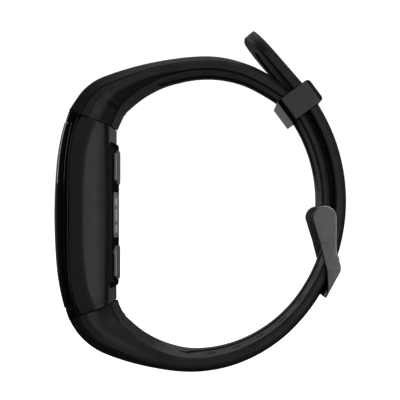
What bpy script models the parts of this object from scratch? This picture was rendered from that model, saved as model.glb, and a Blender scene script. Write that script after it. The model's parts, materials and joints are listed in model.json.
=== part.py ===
"""Fitness tracker band, buckled, lying on its side edge.

Frame, in metres: the origin is the centre of the sensor window on the wrist side,
+X points from that face into the loop (toward the wrist), +Z runs along the body
toward the strap that carries the buckle, and Y is the width of the strap.
"""

import math

import bmesh
import bpy
from mathutils import Matrix, Vector

MM = 0.001

# ---------------------------------------------------------------- driving sizes, mm

# Tracker body, read from the side: the front of the glass is a shallow arch
FRONT_X = -15.0
ARCH_FLAT_RADIUS = 151.0
ARCH_FLAT_ANGLE = 4.73
ARCH_END_RADIUS = 54.0
GLASS_HALF_WIDTH = 11.75
GLASS_HALF_LENGTH = 23.4
GLASS_THICK = 0.9
GLASS_EDGE_DROP = 2.5
GLASS_EDGE_DROP_END = 2.1
GLASS_ROLL_WIDTH = 0.6
BODY_HALF_WIDTH = 12.5
RIM_X = -10.7
RIM_X_END = -9.0
SIDE_EDGE_X = -7.2
BOWL_X = -3.6
BACK_X = -0.75
SEAM_FRONT = (-10.2, 25.9)
SEAM_BACK = (1.05, 22.0)
SEAM_GAP = 0.15
CAVITY_HALF_LENGTH = 18.2
CAVITY_FLOOR_X = -2.3
DISPLAY_UNDER_GLASS = 1.2
DISPLAY_THICK = 0.65
MOTOR_AXIS = (-7.35, 14.2)

# Wrist-side platform, sensor and the two strap release buttons
COVER_HALF_WIDTH = 8.0
COVER_HALF_LENGTH = 18.5
COVER_THICK = 1.2
COVER_FACE_X = -0.05
WINDOW_HALF_WIDTH = 6.8
WINDOW_HALF_LENGTH = 5.9
BUTTON_CENTRE_Z = 12.35
BUTTON_LENGTH = 8.8
BUTTON_WIDTH = 8.9
BUTTON_PROUD = 0.66
BUTTON_GAP = 0.25
BUTTON_FLANGE_X = -1.5
ROCKER_PIVOT = (-3.1, 19.0)
ROCKER_FOOT_Z = 14.9
CONTACT_SPOTS = ((6.05, -9.5), (-6.05, -9.5))
CONTACT_RADIUS = 0.5

# Strap
STRAP_HALF_WIDTH = 11.0
RING_CENTRE = (13.3, 3.6)
INNER_LAYER_OUTER_RADIUS = 41.65
INNER_LAYER_THICK = 2.5
CROWN_HEIGHT = 0.85
CROWN_LENGTH = 20.0
CROWN_HALF_WIDTH = 7.0
ROOT_LENGTH = 14.0
OUTER_LAYER_OUTER_RADIUS = 45.37
OUTER_LAYER_THICK = 2.95
TAIL_ANGLE = 40.8
TAIL_LENGTH = 18.5
CHANNEL_HALF_WIDTH = 6.2
CHANNEL_DEPTH = 0.45
HOLE_PITCH = 7.5
HOLE_LENGTH = 2.8
HOLE_WIDTH = 2.1
HOLE_STEPS = 12
TANG_HOLE_ANGLE = -17.4
HOLES_TOWARD_TIP = 2
HOLES_TOWARD_BODY = 7

# Buckle and keeper
PIN_RING_RADIUS = 39.95
PIN_ANGLE = -6.2
PIN_RADIUS = 0.75
PIN_BORE_RADIUS = 0.83
ARM_INNER_Y = 11.35
ARM_OUTER_Y = 12.95
ARM_END_RADIUS = 3.05
PLATE_ANGLE_TOP = -21.4
PLATE_ANGLE_TIP = -31.1
PLATE_INNER = 45.75
PLATE_OUTER = 46.85
TANG_HALF_WIDTH = 0.75
TANG_THICK = 1.1
KEEPER_ANGLE = 36.4
KEEPER_LENGTH = 6.4
KEEPER_HALF_WIDTH = 13.0
KEEPER_OPENING_HALF = 11.4
KEEPER_INNER = 37.15
KEEPER_OUTER = 46.95
KEEPER_OPENING_INNER = 38.55
KEEPER_OPENING_OUTER = 45.6
KEEPER_CHAMFER = 1.2

# ---------------------------------------------------------------- scene and materials

for leftover in list(bpy.data.objects):
    bpy.data.objects.remove(leftover, do_unlink=True)

parts = bpy.data.collections.new("fitness_tracker_band")
bpy.context.scene.collection.children.link(parts)
cutters = bpy.data.collections.new("cutters")
bpy.context.scene.collection.children.link(cutters)
cutters.hide_render = True


def material(name, colour, roughness, metallic=0.0):
    made = bpy.data.materials.new(name)
    made.use_nodes = True
    shader = made.node_tree.nodes["Principled BSDF"]
    shader.inputs["Base Color"].default_value = (*colour, 1.0)
    shader.inputs["Roughness"].default_value = roughness
    shader.inputs["Metallic"].default_value = metallic
    return made


def dress(obj, colour, roughness, metallic=0.0):
    obj.data.materials.clear()
    obj.data.materials.append(material(obj.name + "_material", colour, roughness, metallic))
    return obj


# ---------------------------------------------------------------- shape helpers


def object_from(name, built, collection=parts):
    bmesh.ops.recalc_face_normals(built, faces=built.faces)
    mesh = bpy.data.meshes.new(name)
    built.to_mesh(mesh)
    built.free()
    obj = bpy.data.objects.new(name, mesh)
    collection.objects.link(obj)
    if collection is cutters:
        obj.hide_render = True
        obj.display_type = "WIRE"
    return obj


def loft(name, sections, collection=parts):
    """A closed body through sections that all have the same number of points, in mm."""
    built = bmesh.new()
    rings = [[built.verts.new(Vector(point) * MM) for point in section] for section in sections]
    count = len(rings[0])
    for first, second in zip(rings, rings[1:]):
        for i in range(count):
            j = (i + 1) % count
            built.faces.new((first[i], first[j], second[j], second[i]))
    built.faces.new(rings[0])
    built.faces.new(rings[-1])
    return object_from(name, built, collection)


def prism(name, outline, plane, low, high, collection=parts):
    """A flat outline pushed between two heights. plane names the outline's two axes."""
    curve = bpy.data.curves.new(name + "_outline", "CURVE")
    curve.dimensions = "2D"
    curve.fill_mode = "BOTH"
    curve.extrude = abs(high - low) / 2 * MM
    line = curve.splines.new("POLY")
    line.points.add(len(outline) - 1)
    line.use_cyclic_u = True
    for spot, (u, v) in zip(line.points, outline):
        spot.co = (u * MM, v * MM, 0, 1)
    holder = bpy.data.objects.new(name + "_outline", curve)
    bpy.context.scene.collection.objects.link(holder)
    graph = bpy.context.evaluated_depsgraph_get()
    mesh = bpy.data.meshes.new_from_object(holder.evaluated_get(graph))
    middle = (low + high) / 2 * MM
    turns = {
        "YZ": Matrix(((0, 0, 1, middle), (1, 0, 0, 0), (0, 1, 0, 0), (0, 0, 0, 1))),
        "XZ": Matrix(((1, 0, 0, 0), (0, 0, 1, middle), (0, 1, 0, 0), (0, 0, 0, 1))),
        "XY": Matrix(((1, 0, 0, 0), (0, 1, 0, 0), (0, 0, 1, middle), (0, 0, 0, 1))),
    }
    mesh.transform(turns[plane])
    bpy.data.objects.remove(holder, do_unlink=True)
    built = bmesh.new()
    built.from_mesh(mesh)
    bpy.data.meshes.remove(mesh)
    bmesh.ops.remove_doubles(built, verts=built.verts, dist=1e-7)
    return object_from(name, built, collection)


def box(name, low, high, collection=parts):
    """A block between two corners, in mm, with its origin at its middle."""
    built = bmesh.new()
    bmesh.ops.create_cube(built, size=1)
    size = [(b - a) * MM for a, b in zip(low, high)]
    bmesh.ops.scale(built, vec=size, verts=built.verts)
    obj = object_from(name, built, collection)
    obj.location = [(a + b) / 2 * MM for a, b in zip(low, high)]
    return obj


def rod(name, centre, axis, radius, length, steps=24, collection=parts):
    """A round bar along X, Y or Z about its centre, in mm."""
    built = bmesh.new()
    bmesh.ops.create_cone(
        built,
        cap_ends=True,
        segments=steps,
        radius1=radius * MM,
        radius2=radius * MM,
        depth=length * MM,
    )
    turn = {
        "X": Matrix.Rotation(math.pi / 2, 4, "Y"),
        "Y": Matrix.Rotation(math.pi / 2, 4, "X"),
        "Z": Matrix.Identity(4),
    }[axis]
    bmesh.ops.transform(built, matrix=turn, verts=built.verts)
    obj = object_from(name, built, collection)
    obj.location = Vector(centre) * MM
    return obj


def origin_at(obj, point):
    """Moves the object's origin to a point, in mm, and leaves its shape where it is."""
    bpy.context.view_layer.update()
    obj.data.transform(obj.matrix_world)
    obj.matrix_world = Matrix.Identity(4)
    obj.data.transform(Matrix.Translation(-Vector(point) * MM))
    obj.location = Vector(point) * MM
    return obj


def boolean(obj, other, operation):
    step = obj.modifiers.new(operation.lower() + "_" + other.name, "BOOLEAN")
    step.operation = operation
    step.solver = "EXACT"
    step.object = other
    return obj


def cut(obj, *others):
    for other in others:
        boolean(obj, other, "DIFFERENCE")
    return obj


def join(obj, *others):
    for other in others:
        boolean(obj, other, "UNION")
    return obj


def rounded(obj, width, segments=2):
    step = obj.modifiers.new("rounded_edges", "BEVEL")
    step.width = width * MM
    step.segments = segments
    step.limit_method = "ANGLE"
    return obj


def smooth(obj):
    for face in obj.data.polygons:
        face.use_smooth = True
    obj.data.set_sharp_from_angle(angle=math.radians(35))
    return obj


def rounded_rectangle(half_u, half_v, corner, steps=4, centre=(0, 0)):
    points = []
    corners = (
        (half_u - corner, half_v - corner, 0),
        (corner - half_u, half_v - corner, 90),
        (corner - half_u, corner - half_v, 180),
        (half_u - corner, corner - half_v, 270),
    )
    for u, v, start in corners:
        for i in range(steps + 1):
            angle = math.radians(start + 90 * i / steps)
            points.append(
                (
                    centre[0] + u + corner * math.cos(angle),
                    centre[1] + v + corner * math.sin(angle),
                )
            )
    return points


def between(table, at):
    """A smooth value at a distance, from a short list of (distance, value)."""
    if at <= table[0][0]:
        return table[0][1]
    for (start, low), (end, high) in zip(table, table[1:]):
        if at <= end:
            part = (at - start) / (end - start)
            return low + (high - low) * part
    return table[-1][1]


def eased(part):
    part = min(max(part, 0.0), 1.0)
    return part * part * (3 - 2 * part)


def ring_point(radius, angle):
    """A point in the XZ plane by radius and angle about the centre of the strap rings."""
    turn = math.radians(angle)
    return (
        RING_CENTRE[0] + radius * math.cos(turn),
        RING_CENTRE[1] + radius * math.sin(turn),
    )


# ---------------------------------------------------------------- body profile


def front_x(z):
    """The front of the arch of the glass at a height."""
    z = abs(z)
    knee = math.radians(ARCH_FLAT_ANGLE)
    knee_z = ARCH_FLAT_RADIUS * math.sin(knee)
    if z <= knee_z:
        return FRONT_X + ARCH_FLAT_RADIUS - math.sqrt(ARCH_FLAT_RADIUS**2 - z * z)
    knee_x = FRONT_X + ARCH_FLAT_RADIUS * (1 - math.cos(knee))
    sine = math.sin(knee) + (z - knee_z) / ARCH_END_RADIUS
    return knee_x + ARCH_END_RADIUS * (math.cos(knee) - math.sqrt(1 - sine * sine))


def edge_drop(z):
    """How far the edge of the glass reaches behind its front, at a height."""
    part = min(abs(z) / GLASS_HALF_LENGTH, 1.0)
    return GLASS_EDGE_DROP + (GLASS_EDGE_DROP_END - GLASS_EDGE_DROP) * part * part


def ledge_x(z):
    return front_x(z) + edge_drop(z)


def rim_x(z):
    """The line between the front frame and the housing."""
    return RIM_X + (RIM_X_END - RIM_X) * eased((abs(z) - 19.0) / 4.5)


def seam_z(x, back_off=0.0):
    """The height of the slanted plane between body and strap, at a depth."""
    slope = (SEAM_BACK[1] - SEAM_FRONT[1]) / (SEAM_BACK[0] - SEAM_FRONT[0])
    return SEAM_FRONT[1] + slope * (x - SEAM_FRONT[0]) - back_off


def heights(limit, count):
    return [limit * (2 * i / (count - 1) - 1) for i in range(count)]


BODY_STATIONS = (0, 4, 8, 12, 15.5, 19, 20.1, 21.2, 22.3, 23.6)
# A height past every other one, for the section that lies on the seam, and the least
# distance the sections before it keep from the seam
SEAM_STATION = 99
LAST_STATION_GAP = 1.2


def mirrored_stations(halves):
    """The same stations on both sides of the middle, from the lowest to the highest."""
    return [(-z, half) for z, half in reversed(halves) if z > 0] + list(halves)


def mirrored(half):
    """A closed section from its +Y half, listed from the front to the back."""
    return half + [(x, -y) for x, y in reversed(half)]


# ---------------------------------------------------------------- display stack

glass_sections = []
for z in heights(GLASS_HALF_LENGTH, 17):
    front = front_x(z)
    drop = edge_drop(z)
    droop = drop - GLASS_ROLL_WIDTH
    half = [
        (front, 7.6),
        (front + 0.22 * droop, 9.6),
        (front + 0.55 * droop, 10.9),
        (front + droop, 11.6),
        (front + drop - 0.25, GLASS_HALF_WIDTH),
        (front + drop, 11.55),
        (front + drop, 10.7),
        (front + 0.22 * droop + GLASS_THICK - 0.2, 9.6),
        (front + GLASS_THICK - 0.2, 7.6),
    ]
    glass_sections.append([(x, y, z) for x, y in mirrored(half)])
front_glass = dress(loft("front_glass", glass_sections), (0.01, 0.01, 0.012), 0.06)
smooth(front_glass)


def arched_plate(name, half_width, half_length, front, back, count=13, collection=parts):
    sections = []
    for z in heights(half_length, count):
        half = [(front(z), half_width), (back(z), half_width)]
        sections.append([(x, y, z) for x, y in mirrored(half)])
    return loft(name, sections, collection)


glass_adhesive = arched_plate(
    "glass_adhesive",
    11.45,
    23.2,
    lambda z: ledge_x(z) + 0.08,
    lambda z: ledge_x(z) + 0.2,
)
display_opening = prism(
    "display_opening_cutter",
    rounded_rectangle(10.6, 22.3, 2.2),
    "YZ",
    -20,
    0,
    cutters,
)
dress(cut(glass_adhesive, display_opening), (0.02, 0.02, 0.02), 0.7)

display_panel = arched_plate(
    "display_panel",
    9.5,
    18.4,
    lambda z: front_x(z) + DISPLAY_UNDER_GLASS,
    lambda z: front_x(z) + DISPLAY_UNDER_GLASS + DISPLAY_THICK,
)
dress(display_panel, (0.015, 0.02, 0.03), 0.15)

# ---------------------------------------------------------------- front frame

frame_halves = []
for z in BODY_STATIONS:
    front = ledge_x(z) + 0.28
    half = [(front, 7.0), (front, 11.9), (front + 0.15, 12.1), (rim_x(z) - 0.12, 12.3)]
    frame_halves.append((z, half))
lip_end = seam_z(-10.4) - SEAM_GAP - 0.1
for z in (BODY_STATIONS[-1] + 0.06, 24.6, lip_end):
    front = front_x(z) + 0.1
    half = [(front, 7.0), (front + 0.65, 11.2), (front + 1.1, 12.0), (rim_x(z) - 0.12, 12.3)]
    frame_halves.append((z, half))
frame_sections = []
for z, half in mirrored_stations(frame_halves):
    ring = []
    for x, y in mirrored(half):
        end = seam_z(x, SEAM_GAP)
        ring.append((x, y, max(-end, min(end, z))))
    frame_sections.append(ring)
front_frame = loft("front_frame", frame_sections)
frame_opening = prism(
    "frame_opening_cutter",
    rounded_rectangle(10.4, 22.1, 2.0),
    "YZ",
    -20,
    0,
    cutters,
)
dress(smooth(cut(front_frame, frame_opening)), (0.008, 0.008, 0.009), 0.12)

# ---------------------------------------------------------------- main housing

housing_sections = []
for z, _ in mirrored_stations([(z, None) for z in BODY_STATIONS + (SEAM_STATION,)]):
    half = [
        (rim_x(z), 12.3),
        (SIDE_EDGE_X, BODY_HALF_WIDTH),
        (BOWL_X, 12.0),
        (-2.4, 11.3),
        (-1.35, 10.0),
        (BACK_X, 8.6),
    ]
    ring = []
    for x, y in mirrored(half):
        end = seam_z(x, SEAM_GAP)
        if abs(z) < SEAM_STATION:
            end = min(abs(z), end - LAST_STATION_GAP + abs(z) / 30)
        ring.append((x, y, math.copysign(end, z)))
    housing_sections.append(ring)
main_housing = loft("main_housing", housing_sections)

cavity = loft(
    "cavity_cutter",
    [
        [
            (x, y, z)
            for x, y in mirrored(
                [(-16, 11.1), (-7.0, 11.1), (-4.2, 10.7), (-3.0, 9.8), (CAVITY_FLOOR_X, 8.4)]
            )
        ]
        for z in (-CAVITY_HALF_LENGTH, CAVITY_HALF_LENGTH)
    ],
    cutters,
)
back_opening = box("back_opening_cutter", (-4, -7.1, -14.4), (2, 7.1, 14.4), cutters)
back_opening_ends = box("back_opening_ends_cutter", (-4, -5.4, -17.7), (2, 5.4, 17.7), cutters)
cover_seat = prism(
    "cover_seat_cutter",
    rounded_rectangle(COVER_HALF_WIDTH + 0.2, COVER_HALF_LENGTH + 0.2, 2.2),
    "YZ",
    -1.55,
    2,
    cutters,
)
cut(main_housing, cavity)
screw_spots = [(y, z) for z in (16.3, -16.3) for y in (6.75, -6.75)]
for i, (y, z) in enumerate(screw_spots):
    boss = rod("screw_boss_%d" % i, (-3.2, y, z), "X", 1.2, 2.2, 16, cutters)
    join(main_housing, boss)
cut(main_housing, back_opening, back_opening_ends, cover_seat)

for side, word in ((1, "upper"), (-1, "lower")):
    low, high = sorted((side * 19.4, side * 27.0))
    pocket = box(word + "_pocket_cutter", (-7.1, -5.8, low), (-3.75, 5.8, high), cutters)
    low, high = sorted((side * 17.9, side * 21.6))
    bay = box(word + "_latch_bay_cutter", (-3.9, -3.7, low), (-1.75, 3.7, high), cutters)
    cut(main_housing, pocket, bay)
    trunnion = rod(
        word + "_trunnion_cutter",
        (ROCKER_PIVOT[0], 0, side * ROCKER_PIVOT[1]),
        "Y",
        0.62,
        9.4,
        16,
        cutters,
    )
    cut(main_housing, trunnion)
for i, (y, z) in enumerate(screw_spots):
    bore = rod("screw_bore_cutter_%d" % i, (-2.5, y, z), "X", 0.52, 6, 12, cutters)
    cut(main_housing, bore)
dress(smooth(main_housing), (0.03, 0.03, 0.032), 0.42)

# ---------------------------------------------------------------- wrist-side cover

back_cover = prism(
    "back_cover",
    rounded_rectangle(COVER_HALF_WIDTH, COVER_HALF_LENGTH, 2.0, 5),
    "YZ",
    -COVER_THICK,
    COVER_FACE_X,
)
rounded(back_cover, 0.25)
lip = box("cover_lip_cutter", (-1.9, -6.8, -14.1), (-0.6, 6.8, 14.1), cutters)
lip_ends = box("cover_lip_ends_cutter", (-1.9, -5.15, -17.45), (-0.6, 5.15, 17.45), cutters)
join(back_cover, lip, lip_ends)
window_hole = prism(
    "window_hole_cutter",
    rounded_rectangle(WINDOW_HALF_WIDTH + 0.12, WINDOW_HALF_LENGTH + 0.12, 2.4, 6),
    "YZ",
    -3,
    2,
    cutters,
)
cut(back_cover, window_hole)
for side, word in ((1, "upper"), (-1, "lower")):
    centre = side * BUTTON_CENTRE_Z
    gate = prism(
        word + "_button_hole_cutter",
        rounded_rectangle(
            BUTTON_WIDTH / 2 + BUTTON_GAP,
            BUTTON_LENGTH / 2 + BUTTON_GAP,
            1.6,
            4,
            (0, centre),
        ),
        "YZ",
        -3,
        2,
        cutters,
    )
    room = box(
        word + "_flange_room_cutter",
        (-3, -5.2, centre - 5.02),
        (-1.2, 5.2, centre + 5.02),
        cutters,
    )
    cut(back_cover, gate, room)
for i, (y, z) in enumerate(screw_spots):
    seat = rod("screw_seat_cutter_%d" % i, (0.4, y, z), "X", 1.0, 2.0, 16, cutters)
    hole = rod("screw_hole_cutter_%d" % i, (-1, y, z), "X", 0.62, 4, 12, cutters)
    cut(back_cover, seat, hole)
for i, (y, z) in enumerate(CONTACT_SPOTS):
    hole = rod("contact_hole_cutter_%d" % i, (-1, y, z), "X", CONTACT_RADIUS + 0.1, 4, 12, cutters)
    cut(back_cover, hole)
dress(back_cover, (0.02, 0.02, 0.021), 0.35)

# ---------------------------------------------------------------- seal, screws, contacts

back_gasket = prism("back_gasket", rounded_rectangle(7.95, 18.45, 2.0), "YZ", -1.47, -1.3)
gasket_opening = box("gasket_opening_cutter", (-3, -7.2, -14.5), (1, 7.2, 14.5), cutters)
gasket_ends = box("gasket_ends_cutter", (-3, -5.5, -17.8), (1, 5.5, 17.8), cutters)
cut(back_gasket, gasket_opening, gasket_ends)
for i, (y, z) in enumerate(screw_spots):
    cut(back_gasket, rod("gasket_hole_cutter_%d" % i, (-1, y, z), "X", 0.6, 4, 12, cutters))
dress(back_gasket, (0.12, 0.12, 0.13), 0.8)

for i, (y, z) in enumerate(screw_spots):
    screw = rod("case_screw_%d" % (i + 1), (-0.34, y, z), "X", 0.85, 0.42, 16)
    shank = rod("screw_shank_%d" % i, (-2.1, y, z), "X", 0.42, 3.2, 12, cutters)
    join(screw, shank)
    slot = rod("screw_recess_%d" % i, (0.0, y, z), "X", 0.4, 0.6, 6, cutters)
    cut(screw, slot)
    dress(screw, (0.16, 0.16, 0.17), 0.35, 1.0)

for i, (y, z) in enumerate(CONTACT_SPOTS):
    contact = rod("charging_contact_%d" % (i + 1), (COVER_FACE_X - 1.2, y, z), "X", CONTACT_RADIUS, 2.4, 16)
    dress(contact, (0.83, 0.62, 0.28), 0.28, 1.0)

# ---------------------------------------------------------------- heart-rate sensor

sensor_window = prism(
    "sensor_window",
    rounded_rectangle(WINDOW_HALF_WIDTH, WINDOW_HALF_LENGTH, 2.3, 6),
    "YZ",
    -0.8,
    0,
)
dress(rounded(sensor_window, 0.12), (0.012, 0.012, 0.014), 0.05)

light_barrier = prism("light_barrier", rounded_rectangle(6.2, 5.6, 2.0), "YZ", -2.12, -0.92)
openings = (("upper_led", 3.4, 1.25), ("photodiode", -0.1, 1.8), ("lower_led", -3.55, 1.25))
for word, centre, half in openings:
    hollow = box(
        word + "_well_cutter",
        (-4, -3.4, centre - half),
        (1, 3.4, centre + half),
        cutters,
    )
    cut(light_barrier, hollow)
dress(light_barrier, (0.02, 0.02, 0.02), 0.8)

lights = (
    ("sensor_led_upper", 3.4, 1.1, (0.25, 0.5, 0.22)),
    ("photodiode", -0.1, 1.65, (0.1, 0.12, 0.1)),
    ("sensor_led_lower", -3.55, 1.1, (0.2, 0.5, 0.4)),
)
for name, centre, half, colour in lights:
    light = box(name, (-2.15, -3.25, centre - half), (-1.35, 3.25, centre + half))
    dress(light, colour, 0.2)

sensor_board = prism("sensor_board", rounded_rectangle(6.3, 5.9, 0.8), "YZ", -2.75, -2.25)
dress(sensor_board, (0.02, 0.12, 0.06), 0.45)

# ---------------------------------------------------------------- strap release buttons

for side, word in ((1, "upper"), (-1, "lower")):
    centre = side * BUTTON_CENTRE_Z
    outline = rounded_rectangle(
        BUTTON_WIDTH / 2,
        BUTTON_LENGTH / 2,
        1.35,
        5,
        (0, centre),
    )
    button = prism("release_button_" + word, outline, "YZ", BUTTON_FLANGE_X, BUTTON_PROUD)
    rounded(button, 0.22)
    flange = box(
        word + "_button_flange",
        (-1.95, -4.95, centre - 4.78),
        (-1.3, 4.95, centre + 4.78),
        cutters,
    )
    low, high = sorted((side * (ROCKER_FOOT_Z - 0.6), side * (ROCKER_FOOT_Z + 0.6)))
    foot = box(word + "_button_foot", (-2.45, -1.5, low), (-1.6, 1.5, high), cutters)
    join(button, flange, foot)
    origin_at(button, (0, 0, centre))
    dress(smooth(button), (0.22, 0.22, 0.225), 0.38, 0.9)

    pivot_x, pivot_z = ROCKER_PIVOT
    blade = [
        (-2.55, side * 14.2),
        (-2.55, side * 21.35),
        (-4.25, side * 21.35),
        (-3.9, side * 20.75),
        (-3.25, side * 20.6),
        (-3.25, side * 14.2),
    ]
    rocker = prism("latch_rocker_" + word, blade, "XZ", -3.2, 3.2)
    hub = rod(word + "_rocker_hub", (pivot_x, 0, side * pivot_z), "Y", 0.75, 6.4, 16, cutters)
    trunnions = rod(
        word + "_rocker_trunnions",
        (pivot_x, 0, side * pivot_z),
        "Y",
        0.54,
        9.0,
        16,
        cutters,
    )
    join(rocker, hub, trunnions)
    origin_at(rocker, (pivot_x, 0, side * pivot_z))
    dress(rocker, (0.45, 0.45, 0.46), 0.35, 1.0)

    coil = bpy.data.curves.new("release_spring_%s_line" % word, "CURVE")
    coil.dimensions = "3D"
    coil.bevel_depth = 0.14 * MM
    coil.bevel_resolution = 1
    coil.use_fill_caps = True
    line = coil.splines.new("POLY")
    turns = 3
    count = 12 * turns
    line.points.add(count)
    for i, spot in enumerate(line.points):
        angle = 2 * math.pi * i / 12
        spot.co = (
            (-4.3 + 2.05 * i / count) * MM,
            1.0 * math.cos(angle) * MM,
            (side * 10.2 + 1.0 * math.sin(angle)) * MM,
            1,
        )
    holder = bpy.data.objects.new("release_spring_line", coil)
    bpy.context.scene.collection.objects.link(holder)
    graph = bpy.context.evaluated_depsgraph_get()
    mesh = bpy.data.meshes.new_from_object(holder.evaluated_get(graph))
    bpy.data.objects.remove(holder, do_unlink=True)
    built = bmesh.new()
    built.from_mesh(mesh)
    bmesh.ops.remove_doubles(built, verts=built.verts, dist=1e-7)
    spring = object_from("release_spring_" + word, built)
    dress(spring, (0.6, 0.6, 0.62), 0.3, 1.0)

# ---------------------------------------------------------------- inside the body

inner_chassis = prism("inner_chassis", rounded_rectangle(10.4, 17.3, 1.5), "YZ", -10.4, -9.85)
dress(inner_chassis, (0.35, 0.36, 0.37), 0.4, 1.0)

battery = box("battery", (-9.6, -9.3, -17.1), (-5.7, 9.3, 10.6))
dress(rounded(battery, 0.6), (0.45, 0.46, 0.48), 0.4)

main_board = prism("main_board", rounded_rectangle(9.5, 16.9, 1.0), "YZ", -5.35, -4.65)
dress(main_board, (0.015, 0.09, 0.05), 0.45)

shield_can = box("shield_can", (-4.5, -7.4, -6.8), (-3.2, 7.4, 6.8))
rounded(shield_can, 0.2, 1)
can_inside = box("shield_inside_cutter", (-5, -7.2, -6.6), (-3.35, 7.2, 6.6), cutters)
dress(cut(shield_can, can_inside), (0.6, 0.6, 0.6), 0.35, 1.0)

processor = box("processor", (-4.5, -3.2, -3.2), (-3.7, 3.2, 3.2))
dress(processor, (0.02, 0.02, 0.02), 0.5)

flex_path = [
    (-11.7, -13.0),
    (-11.7, -17.72),
    (-4.3, -17.72),
    (-4.3, -13.6),
    (-4.45, -13.6),
    (-4.45, -17.57),
    (-11.55, -17.57),
    (-11.55, -13.0),
]
display_flex = prism("display_flex", flex_path, "XZ", -2.6, 2.6)
dress(display_flex, (0.55, 0.3, 0.06), 0.4)

antenna = box("antenna_strip", (-9.7, -9.0, 11.6), (-9.55, 9.0, 16.6))
dress(antenna, (0.72, 0.5, 0.25), 0.4, 1.0)

MOTOR_X, MOTOR_Z = MOTOR_AXIS
motor_can = rod("vibration_motor_can", (MOTOR_X, -2.2, MOTOR_Z), "Y", 2.0, 9.0, 24)
motor_bore = rod("motor_bore_cutter", (MOTOR_X, 1.3, MOTOR_Z), "Y", 0.42, 4.0, 12, cutters)
dress(smooth(cut(motor_can, motor_bore)), (0.62, 0.62, 0.63), 0.3, 1.0)
motor_shaft = rod("vibration_motor_shaft", (MOTOR_X, 2.95, MOTOR_Z), "Y", 0.35, 5.9, 12)
dress(motor_shaft, (0.7, 0.7, 0.7), 0.25, 1.0)
weight_outline = [
    (
        MOTOR_X + 1.9 * math.cos(math.radians(turn)),
        MOTOR_Z + 1.9 * math.sin(math.radians(turn)),
    )
    for turn in range(-10, 191, 10)
]
weight_outline += [(MOTOR_X - 0.8, MOTOR_Z - 0.75), (MOTOR_X + 0.8, MOTOR_Z - 0.75)]
motor_weight = prism("vibration_motor_weight", weight_outline, "XZ", 2.7, 5.6)
weight_bore = rod("weight_bore_cutter", (MOTOR_X, 4, MOTOR_Z), "Y", 0.4, 8.0, 12, cutters)
cut(motor_weight, weight_bore)
origin_at(motor_weight, (MOTOR_X, 4.15, MOTOR_Z))
dress(motor_weight, (0.3, 0.3, 0.31), 0.4, 1.0)

# ---------------------------------------------------------------- strap lines


class Walk:
    """A line in the XZ plane made of arcs and straights that run on from each other."""

    def __init__(self, start, heading, turn_side):
        self.points = []
        self.here = start
        self.heading = heading
        self.turn_side = turn_side
        self.gone = 0.0
        self.points.append((start, heading, 0.0))

    def straight(self, length, step):
        count = max(1, round(length / step))
        start = self.here
        turn = math.radians(self.heading)
        for i in range(1, count + 1):
            part = length * i / count
            self.here = (start[0] + part * math.cos(turn), start[1] + part * math.sin(turn))
            self.points.append((self.here, self.heading, self.gone + part))
        self.gone += length

    def arc(self, radius, sweep, step):
        count = max(1, round(math.radians(sweep) * radius / step))
        side = math.radians(self.heading + 90 * self.turn_side)
        centre = (
            self.here[0] + radius * math.cos(side),
            self.here[1] + radius * math.sin(side),
        )
        for i in range(1, count + 1):
            turned = sweep * i / count
            out = side + math.pi + math.radians(turned) * self.turn_side
            self.here = (centre[0] + radius * math.cos(out), centre[1] + radius * math.sin(out))
            way = self.heading + turned * self.turn_side
            self.points.append((self.here, way, self.gone + math.radians(turned) * radius))
        self.heading += sweep * self.turn_side
        self.gone += math.radians(sweep) * radius


def strap_section(point, heading, inward, distance, sizes, end_angle, side):
    """The strap's section at a distance from the body, as points in mm."""
    part = 1 - eased(distance / ROOT_LENGTH)
    normal = heading + 90 * inward
    normal += ((end_angle - normal + 180) % 360 - 180) * part
    turn = math.radians(normal)
    across = (math.cos(turn), math.sin(turn))
    thick = between(sizes["thick"], distance)
    wide = between(sizes["wide"], distance)
    shoulder = between(sizes["shoulder"], distance)
    waist = min(between(sizes["waist"], distance), thick - 0.45)
    outer_edge = between(sizes["outer_edge"], distance)
    inner_edge = between(sizes["inner_edge"], distance)
    depth = CHANNEL_DEPTH * eased((distance - sizes["channel_from"]) / 1.2)
    narrow = sizes["tip"](distance)
    lift = between(sizes["lift"], distance)
    crown = CROWN_HEIGHT * (1 - eased(distance / CROWN_LENGTH))
    half = [
        (CROWN_HALF_WIDTH * min(1.0, 1.3 * narrow), -lift - crown),
        ((wide - outer_edge) * narrow, -lift),
        (wide * narrow, shoulder),
        (wide * narrow, waist),
        ((wide - inner_edge) * narrow, thick),
        (min(CHANNEL_HALF_WIDTH + 0.3, (wide - inner_edge) * narrow - 0.05), thick),
        (min(CHANNEL_HALF_WIDTH, (wide - inner_edge) * narrow - 0.15), thick - depth),
    ]
    ring = []
    for y, depth_here in half + [(-y, v) for y, v in reversed(half)]:
        x = point[0] + across[0] * depth_here
        z = point[1] + across[1] * depth_here
        ring.append([x, y, z])
    if distance < 0.01:
        for spot in ring:
            spot[2] = side * (seam_z(spot[0]) + SEAM_GAP)
    return ring


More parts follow.
